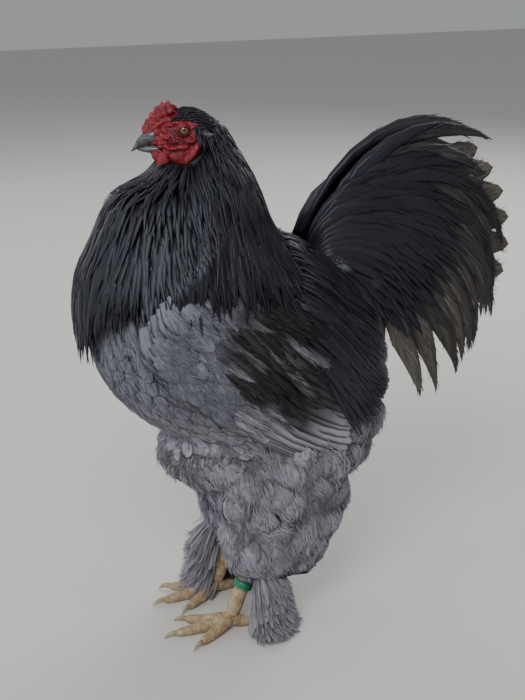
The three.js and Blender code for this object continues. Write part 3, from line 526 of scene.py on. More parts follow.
def shade(base, rim, index, spread=0.12, seed=0):
    """Vane tints: a base colour, each vane a little lighter or darker, and its rim's lightness."""
    light = 1 + spread * np.random.default_rng(seed + 5).uniform(-1, 1, index.max() + 1)[index]
    rim = np.broadcast_to(np.asarray(rim, float), light.shape)
    return np.concatenate([np.clip(base * light[:, None], 0, 1), rim[:, None]], -1)


def turned(way, normal, angle):
    """Directions turned about normals by angle."""
    return way * np.cos(angle)[:, None] + np.cross(normal, way) * np.sin(angle)[:, None]


# Torso, breast and shoulders: broad contour feathers in overlapping rows
def down_and_back(p):
    """Lie of the body's coat: backwards, and down at the breast and belly."""
    front = ease((-p[..., 1] - 40) / 100)
    return np.stack([0.05 * np.sign(p[..., 0]), 1 - 0.75 * front, -0.5 - 0.9 * front], -1)


def body_coat():
    """Contour feathers over the torso where neither wing, hackle nor fluff covers all of it."""
    q = scatter(4200, 2, 1)
    y = mix(BREAST_Y + 2, VENT_Y - 4, 0.5 - 0.5 * np.cos(np.pi * (0.03 + 0.94 * q[:, 0])))
    turn = 2 * np.pi * q[:, 1]
    mid, tall, wide, round_ = body_radii(y)
    p = np.stack([wide * round_ * np.sin(turn), y, mid + tall * round_ * np.cos(turn)], -1)
    uv = np.stack([q[:, 1], 0.5 + 0.5 * q[:, 0]], -1)
    low = (p[:, 2] < 254) & (p[:, 1] > -84)
    rear = (p[:, 1] > 120) & (p[:, 2] < 285)
    under_bell = (p[:, 2] > 455) & (p[:, 1] < 60)
    a, b = wing_ab(p[:, 1], p[:, 2])
    under_wing = (a > 50) & (a < 250) & (b > -35) & (b < 70) & (np.abs(p[:, 0]) > 40)
    keep = ~low & ~rear & ~under_bell & ~under_wing
    p, uv = p[keep], uv[keep]
    for name, side in (("left", 1), ("right", -1)):
        mine = p[:, 0] * side > 0
        root, place_uv = p[mine], uv[mine]
        n = len(root)
        small = (1 - 0.2 * ease((-root[:, 1] - 100) / 50)) * (1 - 0.38 * ease((300 - root[:, 2]) / 40))
        long = rng.uniform(44, 58, n) * small
        wide = rng.uniform(26, 35, n) * small
        lift = rng.uniform(0, 3.4, n) * (1 - 0.7 * ease((300 - root[:, 2]) / 40))
        lean = 0.22 * rng.standard_normal(n)

        def flow(p):
            """Down and back, each feather leaning its own way a little."""
            return turned(unit(down_and_back(p)), unit(p - np.array([0, 20, 380])), lean)

        path, up = grow(BELLY_FIELD, root, flow, long,
                        lambda t: mix(-6, 1, ease(2 * t)) + lift * ease(t * 1.2), BED)

        def colour(i, s, t):
            """Slate grey, paler towards the belly, with painted shade darkening the root where the feathers
            above cover it, and a thin dark rim.
            """
            base = mix(SLATE, LAVENDER * 0.95, ease((380 - root[i, 2]) / 130)[:, None])
            # Painted shade: the first half of each feather darker, where the feathers above cover it.
            return shade(base * mix(0.6, 1.0, ease(t * 2))[:, None], 0.42, i, 0.15, 1)

        half = rounded(n, BED, wide, 0.45, 0.03)
        coat("body_coat_" + name, path, up, half, 0.8, place_uv, colour, plumage, 0.1, BED)
        many = 4
        first = np.repeat(root, many, 0)
        spread = np.repeat(lean, many) + 0.5 * rng.uniform(-1, 1, n * many)
        own = rng.random(n * many)

        def fan(p):
            """The feather's own way, fanned out."""
            return turned(unit(down_and_back(p)), unit(p - np.array([0, 20, 380])), spread)

        def skim(t):
            """Just over the feather it belongs to."""
            return mix(-6, 1.6, ease(2 * t)) + (np.repeat(lift, many) + 0.8 * own) * ease(t * 1.2)

        path, up = grow(BELLY_FIELD, first, fan, np.repeat(long, many) * rng.uniform(0.85, 1.08, n * many),
                        skim, WISP)

        def barb_colour(i, s, t):
            """As the feathers below, a little lighter."""
            base = mix(SLATE, LAVENDER * 0.95, ease((380 - first[i, 2]) / 130)[:, None])
            return shade(base * 1.1, 1.0, i, 0.25, 13)

        breadth = rng.uniform(0.7, 1.5, n * many)
        half = pointed(n * many, WISP, breadth, 0.8, 0.5)
        coat("body_barbs_" + name, path, up, half, 0.5 * breadth[:, None], np.repeat(place_uv, many, 0),
             barb_colour, down,
             0.1, WISP, HAIR)


# Neck: hackle locks, long and narrow, dark with a blue gloss
def straight_down(p):
    """Lie of the neck's coat."""
    return np.stack([0 * p[..., 0], 0 * p[..., 0], -1 + 0 * p[..., 0]], -1)


def bell_point(u, z, off):
    """A point of the bell at angle u from the front and height z, off from it."""
    reach = np.where(np.cos(u) > 0, along(BELL["front"], z), along(BELL["back"], z))
    x = (along(BELL["side"], z) + off) * np.sin(u)
    return np.stack([x, along(BELL["mid"], z) - (reach + off) * np.cos(u), z], -1)


def hackle_edge(u):
    """How low the hackle hangs at angle u from the front."""
    return mix(np.where(np.cos(u) > 0, 404.0, 462.0), 462, ease(np.abs(np.sin(u)) * 1.15 - 0.1))


def over_wing(p, margin):
    """Points pushed out so that they pass over the folded wing."""
    a, b = wing_ab(p[..., 1], p[..., 2])
    inside = ease((a + 30) / 30) * ease((WING_LONG + 14 - a) / 20) * ease((112 - b) / 30) * ease((b
                                                                                                  + 90) / 14)
    rise = mix(6, 15.5, ease(a / 70)) - 5 * ease((a - 120) / 80)
    want = wing_point(a, b, 0 * a, 1)[..., 0] + rise + margin
    short = np.maximum(want - np.abs(p[..., 0]), 0) * inside * (np.abs(p[..., 0]) > 40)
    moved = p.copy()
    moved[..., 0] += np.where(p[..., 0] < 0, -1, 1) * short
    return moved


def hackle_coat():
    """Locks down the bell, short at throat and crown, long in the cape.
    Each hugs the bell, then lifts at its end."""
    q = scatter(3300, 2, 4)
    u = 2 * np.pi * q[:, 1]
    z0 = mix(655.0, hackle_edge(u) + 46, q[:, 0] ** 0.85)
    fore, _, up_at = np.moveaxis(off_head(bell_point(u, z0, -9 + 0 * u)), -1, 0)
    bare = (up_at > -32) & (fore > along([(-32, -8), (-18, -22), (-4, -24), (6, -12), (30, -8)], up_at))
    u, z0, q = (v[~bare] for v in (u, z0, q))
    n = len(u)
    long = along([(400, 96), (500, 112), (560, 100), (600, 66), (625, 42), (655, 24)],
                 z0) * rng.uniform(0.85, 1.12, n)
    throat = ease((z0 - 560) / 40) * ease(np.cos(u + 0.26) * 2)
    ragged = 9 * rng.uniform(-1, 1,
                             n) + 36 * rng.random(n) ** 4 + 13 * np.sin(u * 13
                                                                        + 2 * np.sin(u * 5)) * np.sin(u * 7
                                                                                                      + 1)
    long = mix(np.minimum(long, (z0 - hackle_edge(u)) * 1.1 + ragged + 4), 30, throat)
    wide = along([(400, 14), (540, 10.5), (600, 6.5), (655, 4.0)], z0) * rng.uniform(0.6, 1.3, n)
    lift = rng.uniform(-1.5, 3.2, n) * along([(500, 1.2), (655, 0.4)], z0)
    top = lift * (1 - 0.6 * throat)
    lean = 0.05 * rng.standard_normal(n) + 0.07 * np.sin(5 * u + 2) + 0.13 * np.sin(u * 31
                                                                                    + 3 * np.sin(z0 * 0.03))

    def flow(p):
        """Down, each lock leaning its own way a little."""
        return turned(straight_down(p), unit(p * [1, 1, 0] - [0, -35, 0]), lean)

    path, up = grow(SHOULDER_FIELD, bell_point(u, z0, -9 + 0 * u), flow, long,
                    lambda t: mix(-9, -2, ease(t / 0.35)) + (top + 1.5) * ease(t / 0.6), LOCK)
    path = over_wing(path, 2.5 + np.maximum(lift[:, None], 0))
    half = pointed(n, LOCK, wide, 0.55, 0.4, 0.05)
    uv = np.stack([u / (2 * np.pi) * 0.999, 0.3 + 0.19 * q[:, 0]], -1)
    grey = rng.random(n) * ease((500 - z0) / 60)
    for name, mine in (("left", np.sin(u) > 0), ("right", np.sin(u) <= 0)):
        grey_here = grey[mine]

        def colour(i, s, t):
            """Blue-black; a few of the lowest have slate bases, their rims lighter."""
            base = mix(INK, SLATE * 0.6, (ease(grey_here[i] * 2.2 - 0.8) * (1 - 0.6 * t))[:, None])
            return shade(base, 1.5, i, 0.85, 2)

        coat("hackle_" + name, path[mine], up[mine], half[mine], 0.7, uv[mine], colour, gloss, 0.3)


# Wings: tiers of flight feathers and coverts, from the wing's lower face up
WING_ROWS = [
    # name, count, width, height at root and tip, root and tip in the wing's own directions
    ("primaries", 8, 25, (1, 2.6), lambda k: (128 + 10 * k, -64 + 20 * k),
     lambda k: (300 + 18 * k, -27 + 20 * k)),
    ("secondaries", 14, 30, (1.5, 4.8), lambda k: (95 + 22 * k, -52 + 118 * k),
     lambda k: (308 - 62 * k**1.5, -16 + 88 * k)),
    ("greater_coverts", 15, 27, (2.5, 7.5), lambda k: (72 - 6 * k, -50 + 124 * k),
     lambda k: (196 - 14 * k, -54 + 136 * k)),
    ("middle_coverts", 17, 24, (3.0, 9.5), lambda k: (44 - 4 * k, -46 + 120 * k),
     lambda k: (150 - 8 * k, -51 + 129 * k)),
]


def wing_facing(a, b, side):
    """The wing face's outward direction at (a, b)."""
    h = 3.0
    da = wing_point(a + h, b, 3 + 0 * a, side) - wing_point(a - h, b, 3 + 0 * a, side)
    db = wing_point(a, b + h, 3 + 0 * a, side) - wing_point(a, b - h, 3 + 0 * a, side)
    n = unit(np.cross(da, db))
    return n * np.sign(n[..., :1] * side)


def wing_vanes(name, side, root, tip, off, lift, wide, stops, roll, colour, material, round_end=True,
               barbs=0):
    """A tier of vanes over one wing from roots to tips given as (a, b)."""
    n = len(root)
    t = stops
    a = mix(root[:, :1], tip[:, :1], t)
    b = mix(root[:, 1:], tip[:, 1:], t) - 4 * np.sin(np.pi * t)
    path = wing_point(a, b, mix(*off, ease(t * 1.8)) + lift[:, None] * ease(t * 2), side)
    up = wing_facing(a, b, side)
    ahead = unit(np.gradient(path, axis=1))
    up = up + np.cross(ahead, up) * np.tan(np.radians(roll)) * side
    half = rounded(n, stops, wide, 0.5, 0.02) if round_end else pointed(n, stops, wide, 0.5, 0.45, 0.04)
    uv = np.stack([(0.25 if side > 0 else 0.75) + root[:, 0] / 1600, 0.2 + root[:, 1] / 900], -1)
    coat(name, path, up, half, 0.8, uv, colour, material, 0.05, stops)
    if barbs:
        frayed(name + "_barbs", path, up, half, barbs, uv, colour,
               down if material is plumage else material)


def frayed(name, path, up, half, many, uv, colour, material, span=0.34, starts=(0.15, 0.8)):
    """Fine barbs past the rim of each vane: strips that start on it and lean out over its end and sides."""
    n, stations = half.shape
    i = np.repeat(np.arange(n), many)
    s = rng.uniform(-1, 1, len(i))
    first = mix(*starts, rng.random(len(i)))
    t = first[:, None] + span * (1 + 0.3 * rng.random(len(i))[:, None]) * WISP
    x = np.clip(t, 0, 1.0) * (stations - 1)
    k = np.minimum(x.astype(int), stations - 2)
    f = (x - k)[..., None]
    here = mix(path[i[:, None], k], path[i[:, None], k + 1], f)
    face = unit(mix(up[i[:, None], k], up[i[:, None], k + 1], f))
    ahead = unit(path[i[:, None], k + 1] - path[i[:, None], k])
    wide = mix(half[i[:, None], k], half[i[:, None], k + 1], f[..., 0]).max(1, keepdims=True)
    over = np.maximum(t - 1, 0)[..., None] * np.linalg.norm(path[i, -1] - path[i, 0], axis=-1)[:, None,
                                                                                               None]
    aside = unit(np.cross(face, ahead)) * (s[:, None] * wide * mix(0.55, 1.12, WISP))[..., None]
    line = here + ahead * over + aside + face * (0.9 + 0.5 * rng.random((len(i), 1, 1)))
    breadth = rng.uniform(0.7, 1.5, len(i))
    coat(name, line, face, pointed(len(i), WISP, breadth, 0.8, 0.5), 0.5 * breadth[:, None], uv[i],
         lambda j, side_at, along_at: colour(i[j], side_at, mix(first[j], 1.0, along_at)), material, 0.1,
         WISP, HAIR)


def dark_zone(a, b):
    """How dark the wing is at (a, b): a band along its middle, whitish in one small patch."""
    return ease((a - 40) / 45) * ease((b + 26) / 22) * (1 - ease((a - 215 - 0.5 * b) / 30))


def wing(name, side):
    """One folded wing: flight feathers, coverts in rows, and small feathers over the bow."""
    for tier, count, wide, off, root_at, tip_at in WING_ROWS:
        k = np.linspace(0, 1, count)
        root = np.stack([np.broadcast_to(x, k.shape) for x in root_at(k)], -1)
        tip = np.stack([np.broadcast_to(x, k.shape) for x in tip_at(k)], -1)
        tip = tip + rng.uniform(-1, 1, tip.shape) * [5, 1.5]
        fast = tier in ("primaries", "secondaries")

        def colour(i, s, t, root=root, tip=tip, k=k, fast=fast):
            """Flight feathers pale lavender grey, the uppermost darker; coverts dark with pale streaks."""
            a, b = mix(root[i, 0], tip[i, 0], t), mix(root[i, 1], tip[i, 1], t)
            dark = dark_zone(a - (15 if fast else 0), b)[:, None]
            if fast:
                base = mix(LAVENDER * 0.95, SLATE_DARK * 0.7,
                           np.maximum(dark, ease((k[i] - 0.6) / 0.3)[:, None] * 0.8))
                return shade(base, 0.55, i, 0.1, 3)
            base = mix(LAVENDER * 0.8, BROWN * 0.75, dark)
            white = np.exp(-(((a - 141) / 16) ** 2) - ((b - 28) / 7) ** 2)[:, None]
            base = mix(base, PALE * 1.5, white * 0.85)
            return shade(base, mix(0.5, 2.4, dark[:, 0]), i, 0.2, 4)

        wing_vanes(f"{tier}_{name}", side, root, tip, off, np.zeros(count), wide, ROUND, -8, colour,
                   plumage if fast else coverts, fast, 0 if fast else 20)
    count = 70
    q = scatter(count, 2, 8)
    root = np.stack([mix(46, 150, q[:, 0]), mix(-24, 62, q[:, 1])], -1)
    tip = root + np.stack([rng.uniform(56, 84, count), rng.uniform(-14, 6, count)], -1)
    tip[:, 0] = np.minimum(tip[:, 0], 232 + 0.35 * tip[:, 1] + 14 * rng.uniform(-1, 1, count))
    pale_tip = rng.random(count) ** 1.6 * (rng.random(count) < 0.5)

    def finger_colour(i, s, t):
        """Brown-black; some of them end in pale grey."""
        base = mix(BROWN * 0.7, LAVENDER * 0.8,
                   (pale_tip[i] * ease((t - 0.4) / 0.4) * ease((1.05 - t) / 0.3))[:, None])
        return shade(base, 1.7, i, 0.3, 15)

    wing_vanes("wing_locks_" + name, side, root, tip, (8.5, 13.5), 2.4 * rng.random(count),
               rng.uniform(8, 13, count), LOCK, 0,
               finger_colour, coverts, False, 12)
    count = 300
    q = scatter(count, 2, 7)
    root = np.stack([mix(-18, 96, q[:, 0]), mix(-56, 86, q[:, 1])], -1)
    height = WING_Z - root[:, 0] * np.sin(WING_SLOPE) + root[:, 1] * np.cos(WING_SLOPE)
    root = root[height < 478]
    q = q[height < 478]
    count = len(root)
    dark_root = dark_zone(root[:, 0] + 32, root[:, 1] * 1.03 - 5)
    long = mix(46, 66, dark_root) * rng.uniform(0.9, 1.1, count)
    tip = root + np.stack([long, root[:, 1] * 0.05 - 7 + 3 * rng.standard_normal(count)], -1)
    loose = dark_root > 0.5
    for word, mine, material in (("bow", ~loose, plumage), ("bow_locks", loose, coverts)):
        dark_here = dark_root[mine]

        def bow_colour(i, s, t):
            """Slate grey with thin dark rims, turning to brown-black locks with pale streaks."""
            dark = dark_here[i][:, None]
            base = mix(SLATE * 1.12, BROWN * 0.75, dark)
            return shade(base, mix(0.45, 2.6, dark[:, 0]), i, 0.2, 5)

        n = int(mine.sum())
        wide = rng.uniform(22, 29, n) if word == "bow" else rng.uniform(13, 18, n)
        lift = 2.4 * rng.random(n) + (1.2 if word == "bow_locks" else 0)
        wing_vanes(f"wing_{word}_{name}", side, root[mine], tip[mine], (2.0, 10.5), lift, wide, ROUND, 0,
                   bow_colour,
                   material, word == "bow", 12)


# Saddle: locks that flow back from the back's middle and down over wings and tail base
def over_back(y, turn, off):
    """A point over the torso at y and at angle turn down from the spine."""
    mid, tall, wide, round_ = body_radii(y)
    p = np.stack([wide * round_ * np.sin(turn), y, mid + tall * round_ * np.cos(turn)], -1)
    _, n = near(torso, p)
    return p + n * off[..., None]


def saddle_coat(count=1100):
    """Narrow locks in overlapping rows, those at the flank longest and falling most."""
    q = scatter(count, 2, 9)
    side = np.where(np.arange(count) % 2, 1, -1)
    start = np.radians(mix(2, 78, q[:, 1] ** 0.9))
    y0 = mix(58, 128, q[:, 0])
    long = (26 + 66 * ease((np.degrees(start) - 8) / 40)) * rng.uniform(0.8, 1.12, count)
    long = np.minimum(long, (VENT_Y - 16 - y0) / 0.95)
    t = LOCK
    y = y0[:, None] + long[:, None] * t * 0.95
    lean = 1 + 0.25 * rng.standard_normal(count)[:, None]
    fall = np.radians(40) * t**1.3 * (0.25 + 0.75 * q[:, 1:2]) * lean
    lift = rng.uniform(0, 3.5, count)[:, None]
    off = mix(0, 8 + lift + 7 * (1 - q[:, :1]), ease(t * 1.6))
    path = over_back(y, side[:, None] * (start[:, None] + fall), off)
    path = mix(path, over_wing(path, 1.5 + lift + 3 * (1 - q[:, :1])), ease(t * 2.4)[None, :, None])
    _, up = near(torso, path)
    half = pointed(count, LOCK, rng.uniform(10, 15, count), 0.5, 0.4, 0.05)
    uv = np.stack([0.5 + side * start / (2 * np.pi), 0.6 + 0.3 * q[:, 0]], -1)

    def colour(i, s, t):
        """Blue-black with a gloss, rims a little greyer."""
        return shade(INK * 1.1 + 0 * s[:, None], 1.5, i, 0.5, 6)

    coat("saddle_coat", path, up, half, 0.7, uv, colour, gloss, 0.15)


# Tail
def arc(root, start, bend, long, t):
    """Points along curves in the (y, z) plane whose angle falls from start by bend; t is shared by all vanes."""
    steps = 48
    i = np.arange(steps)
    angle = np.radians(start[:, None] - bend[:, None] * ((i + 0.5) / steps) ** 1.1)
    step = np.stack([np.cos(angle), np.sin(angle)], -1) * (long / steps)[:, None, None]
    points = np.concatenate([root[:, None], root[:, None] + np.cumsum(step, 1)], 1)
    x = np.clip(t, 0, 1) * steps
    k = np.minimum(np.floor(x).astype(int), steps - 1)
    return points[:, k] + (points[:, k + 1] - points[:, k]) * (x - k)[None, :, None]


SICKLE = {
    "start": [(0, 67), (0.25, 56), (0.65, 12), (1, -36)],
    "bend": [(0, 91), (0.25, 152), (0.65, 104), (1, 52)],
    "long": [(0, 288), (0.25, 340), (0.65, 272), (1, 202)],
    "root_y": [(0, 128), (0.6, 132), (1, 138)],
    "root_z": [(0, 500), (0.25, 492), (0.65, 480), (1, 468)],
    "root_x": [(0, 18), (1, 47)],
    "tip_x": [(0, 22), (0.25, 40), (0.65, 66), (1, 90)],
}
FINE = np.array([0, 0.12, 0.25, 0.38, 0.5, 0.62, 0.74, 0.84, 0.92, 0.975, 1])


def sideways(path, side, tilt=0.0):
    """Facing of tail feathers: away from the middle."""
    up = np.zeros_like(path)
    up[..., 0] = side
    up[..., 2] = tilt
    return up


def tail(side, name):
    """Straight feathers by the middle, sickles over them, and shorter coverts over the base of those."""
    k = np.arange(7)
    line = arc(np.stack([138 + 0.0 * k, 482 - 3.0 * k], -1), 34.0 - 7 * k, 16.0 + 0 * k,
               278 - 2.0 * (k - 3.5) ** 2, FINE)
    x = side * (2.2 + 2.1 * k[:, None] + 2 * FINE)
    path = np.concatenate([x[..., None], line], -1)
    uv = np.stack([0.5 + side * 0.02 * (k + 1), 0.97 + 0 * k], -1)

    def straight_colour(i, s, t):
        """Dark slate at the base to an olive grey end."""
        return shade(mix(BROWN, OLIVE, ease((t - 0.2) / 0.4)[:, None]), 0.7, i, 0.12, 7)

    half = rounded(7, FINE, 50, 0.5, 0.02)
    coat("tail_feathers_" + name, path, sideways(path, side), half, 0.9, uv, straight_colour, plumage,
         0.04, FINE)
    frayed("tail_barbs_" + name, path, sideways(path, side), half, 60, uv, straight_colour, plumage, 0.09,
           (0.4, 0.94))

    count = 22
    q = np.linspace(0, 1, count)
    wob = rng.uniform(-1, 1, (4, count))
    t = FINE
    line = arc(
        np.stack([along(SICKLE["root_y"], q), along(SICKLE["root_z"], q)], -1),
        along(SICKLE["start"], q) + 2.5 * wob[3],
        along(SICKLE["bend"], q) + 6 * wob[0],
        along(SICKLE["long"], q) * (1 + 0.06 * wob[1]),
        t,
    )
    x = mix(along(SICKLE["root_x"], q)[:, None], along(SICKLE["tip_x"], q)[:, None],
            ease(t * 0.9)) + 2.5 * wob[2][:, None] * t
    path = np.concatenate([(side * x)[..., None], line], -1)
    d, normal = near(torso, path)
    stand = 3 + 1.2 * np.arange(count)[:, None] * (q[:, None] > 0.5) - d
    path = path + normal * (np.maximum(0, stand) * (t > 0.12))[..., None]
    half = pointed(count, FINE, rng.uniform(20, 34, count), 0.5, 0.62, 0.02)
    uv = np.stack([0.5 + side * (0.2 + 0.1 * q), 0.93 + 0.03 * q], -1)

    def sickle_colour(i, s, t):
        """Ink near the body, browner and greyer towards the end."""
        base = mix(INK * 1.3, mix(BROWN * 1.5, OLIVE * 0.8, 0.75 * q[i][:, None]),
                   ease((t - 0.3) / 0.4)[:, None])
        return shade(base, 2.0, i, 0.5, 8)

    coat("sickles_" + name, path, sideways(path, side), half, 0.8, uv, sickle_colour, gloss, 0.05, FINE)
    frayed("sickle_barbs_" + name, path, sideways(path, side), half, 60, uv, sickle_colour, gloss, 0.1,
           (0.3, 0.92))

    count = 120
    q = scatter(count, 2, 12)
    k = q[:, 0]
    t = LOCK
    line = arc(
        np.stack([along(SICKLE["root_y"], k) - 14 + 26 * q[:, 1],
                  along(SICKLE["root_z"], k) - 2 + 6 * q[:, 1]], -1),
        along(SICKLE["start"], k) + 4,
        along(SICKLE["bend"], k) * 0.7,
        along(SICKLE["long"], k) * (0.4 + 0.3 * q[:, 1]) * rng.uniform(0.9, 1.1, count),
        t,
    )
    x = mix(along(SICKLE["root_x"], k)[:, None], along(SICKLE["tip_x"], k)[:, None],
            ease(t * 0.6)) + 3 + 5 * (1 - q[:, 1:2]) * t
    path = np.concatenate([(side * x)[..., None], line], -1)
    d, normal = near(torso, path)
    path = path + normal * (np.maximum(0, 5 + 6 * q[:, 1:2] - d) * (t > 0.15))[..., None]
    half = pointed(count, LOCK, rng.uniform(15, 22, count), 0.5, 0.5, 0.03)
    uv = np.stack([0.5 + side * (0.3 + 0.1 * k), 0.9 + 0.03 * q[:, 1]], -1)

    def covert_colour(i, s, t):
        """Blue-black, rims slate."""
        return shade(INK * 1.2 + 0 * s[:, None], 2.6, i, 0.3, 9)

    coat("tail_coverts_" + name, path, sideways(path, side, 0.3), half, 0.7, uv, covert_colour, gloss, 0.1)


# Down: belly, rump and legs in soft rounded tufts with fine frayed ends
def lobe_roots(rows, count, seed):
    """Roots on the outer skin of several ellipsoids."""
    q = scatter(count, 3, seed)
    rows = np.array(rows, float)
    area = rows[:, 3] * rows[:, 4] + rows[:, 4] * rows[:, 5] + rows[:, 3] * rows[:, 5]
    which = np.searchsorted(np.cumsum(area) / area.sum(), q[:, 2])
    turn, z = 2 * np.pi * q[:, 0], 1 - 2 * q[:, 1]
    flat = np.sqrt(1 - z * z)
    way = np.stack([flat * np.cos(turn), flat * np.sin(turn), z], -1)
    p = rows[which, :3] + rows[which, 3:] * way
    inside = np.zeros(count, bool)
    for i, row in enumerate(rows):
        inside |= (which != i) & (np.linalg.norm((p - row[:3]) / row[3:], axis=1) < 0.97)
    return p[~inside], q[~inside]


CUSHION, CUSHION_TALL = 30.0, 11.0


def fluff_coat(name, field, rows, count, seed, u_at, cushions, wisps, tone):
    """A bed of broad soft feathers over lobes, and over it many fine slivers that fray its ends."""
    p, q = lobe_roots(rows, count, seed)
    keep = torso(p) > -17
    p, q = p[keep], q[keep]
    middle = np.array(rows, float)[:, :3].mean(0)
    centres, _ = lobe_roots(rows, cushions, seed + 3)
    for word, many, long, wide, stops, section in (
        ("bed", 1, (36, 50), (26, 36), BED, SECTION),
        ("wisps", wisps, (16, 30), (0.9, 1.9), WISP, HAIR),
    ):
        root = np.repeat(p, many, 0)
        n = len(root)
        patch = np.repeat(q, many, 0)
        bed = word == "bed"
        if not bed:
            root = root + rng.normal(0, 4.2, root.shape)
        own, tuft = rng.random(n), rng.random(len(p))
        lift = 1.4 * own if bed else 1.6 * own + 2.6 * np.repeat(tuft, many) + 7 * own**8
        which = np.argmin(((root[:, None] - centres) ** 2).sum(-1), 1)
        from_centre = root - centres[which]
        fall_way = np.array([0, 0.37, -0.93])
        across = (from_centre * unit(np.cross(fall_way, unit(root - middle)))).sum(-1)
        own_lean = (0.12 if bed else 0.24) * rng.standard_normal(n)
        lean = own_lean + rng.uniform(-0.4, 0.4, len(centres))[which] + across / 52

        def flow(p):
            """Down and a little back, leaning in slow waves and each its own way."""
            base = unit(np.stack([0 * p[..., 0], 0.4 + 0 * p[..., 0], -1 + 0 * p[..., 0]], -1))
            return turned(base, unit(p - middle), lean)

        def height(t):
            """Sunk at the root, then just over the lobe; wisps stand out at their ends."""
            return mix(-8, -2 if bed else -1, ease(t * 2.5)) + lift * (ease(t * 1.3) if bed else t**1.4)

        path, up = grow(field, root, flow, rng.uniform(*long, n), height, stops)
        apart = path - centres[which][:, None] - fall_way * 4
        dome = np.maximum(1 - (apart**2).sum(-1) / CUSHION**2, 0)
        path = path + up * (CUSHION_TALL * dome * ease(stops * 3)
                            * mix(0.35, 1, ease((path[..., 2] - 95) / 70)
                                  * ease((path[..., 1] + 40) / 60)))[..., None]
        up = unit(up + apart * (0.75 / CUSHION) * (dome[..., None] > 0))
        breadth = rng.uniform(*wide, n)
        half = rounded(n, stops, breadth, 0.45, 0.06) if bed else pointed(n, stops, breadth, 0.8, 0.3)
        light = rng.uniform(0.86, 1.16, len(centres))[which] * np.repeat(0.9 + 0.2 * tuft,
                                                                         many) * rng.uniform(0.9, 1.1, n)
        # Painted light and shade: each feather lighter on its cushion's top and darker towards the cushion's
        # edge.
        painted_dome_shade = dome.mean(1)
        # Painted shade under the breast: the down darker at its top front.
        painted_breast_shade = 1 - 0.25 * ease((root[:, 2] - 225) / 25) * ease((-40 - root[:, 1]) / 30)
        uv = np.stack([u_at + 0.1 * patch[:, 0], 0.02 + 0.25 * patch[:, 1]], -1)

        def colour(i, s, t):
            """Lavender grey, with painted light and shade: darker at the root deep in the coat, towards each
            cushion's edge and under the breast, lighter on each cushion's top.
            """
            # depth here is painted shade: darker roots deep in the coat, shaded cushion edges and shade under
            # the breast.
            depth = mix(0.55, 0.94 if bed else 1.0, ease(t / 0.6)) * mix(0.6, 1.16, painted_dome_shade[i]) * painted_breast_shade[i]
            return shade(LAVENDER * tone * depth[:, None] * light[i][:, None], 1.06, i, 0.06, 10)

        coat(f"{name}_{word}", path, up, half, 0.8 if bed else 0.5 * breadth[:, None], uv, colour, down,
             0.12, stops, section)


def foot_coat(side, name):
    """Feathers of shank and outer toe, fanned outwards and back down to the floor, with wisps between."""
    y0 = FOOT_Y[side]
    back = 33 if side > 0 else 20
    for word, count, wide, stops, section in (("vanes", 200, (6, 12), LOCK, SECTION),
                                              ("wisps", 3300, (0.8, 1.8), WISP, HAIR)):
        q = scatter(count, 2, 14)
        vane = word == "vanes"
        first, last = (74, 208) if side > 0 else (-24, 190)
        turn = np.radians(mix(first, last, q[:, 0]) + (8 if side > 0 else 14) * rng.standard_normal(count))
        way = np.stack([side * np.sin(turn), -np.cos(turn), 0 * turn], -1)
        z0 = mix(22, 100 if side > 0 else 118, q[:, 1])
        reach = mix(54, 42, q[:, 1]) * rng.uniform(0.75, 1.15, count) * (1.0 if side > 0 else 1.12)
        t = stops
        near_root = 6 if vane else 6 + (reach - 14)[:, None] * rng.random(count)[:, None]
        start = np.stack([side * (58 + 0 * z0), y0 + back + 0 * z0, z0], -1)
        out = near_root + (reach[:, None] - near_root) * np.sin(t * np.pi / 2)
        path = start[:, None] + way[:, None] * out[..., None]
        fallen = np.minimum(z0 - 3, 46)[:, None] * (out / reach[:, None]) ** 1.5
        path[..., 2] -= fallen
        path[..., 2] = np.maximum(path[..., 2]
                                  + (9 if vane else 15) * rng.uniform(-0.5, 1, count)[:, None] * t, 1.2)
        up = way[:, None] + np.array([0, 0, 0.8]) + np.zeros((1, len(t), 1))
        breadth = rng.uniform(*wide, count)
        half = pointed(count, stops, breadth, 0.6, 0.55, 0.08) if vane else pointed(count, stops, breadth,
                                                                                    0.8, 0.3)
        uv = np.stack([(0.2 if side > 0 else 0.7) + 0.1 * q[:, 0], 0.3 + 0.02 * q[:, 1]], -1)
        light = rng.uniform(0.7, 1.2, count)

        def colour(i, s, t):
            """Whitish lavender, a few of them darker."""
            return shade(mix(LAVENDER, PALE * (0.75 if vane else 1.0), ease(t)[:, None])
                         * light[i][:, None], 0.9, i, 0.1, 11)

        coat(f"foot_{word}_{name}", path, up, half, 0.7 if vane else 0.5 * breadth[:, None], uv, colour,
             down, 0.12, stops, section)


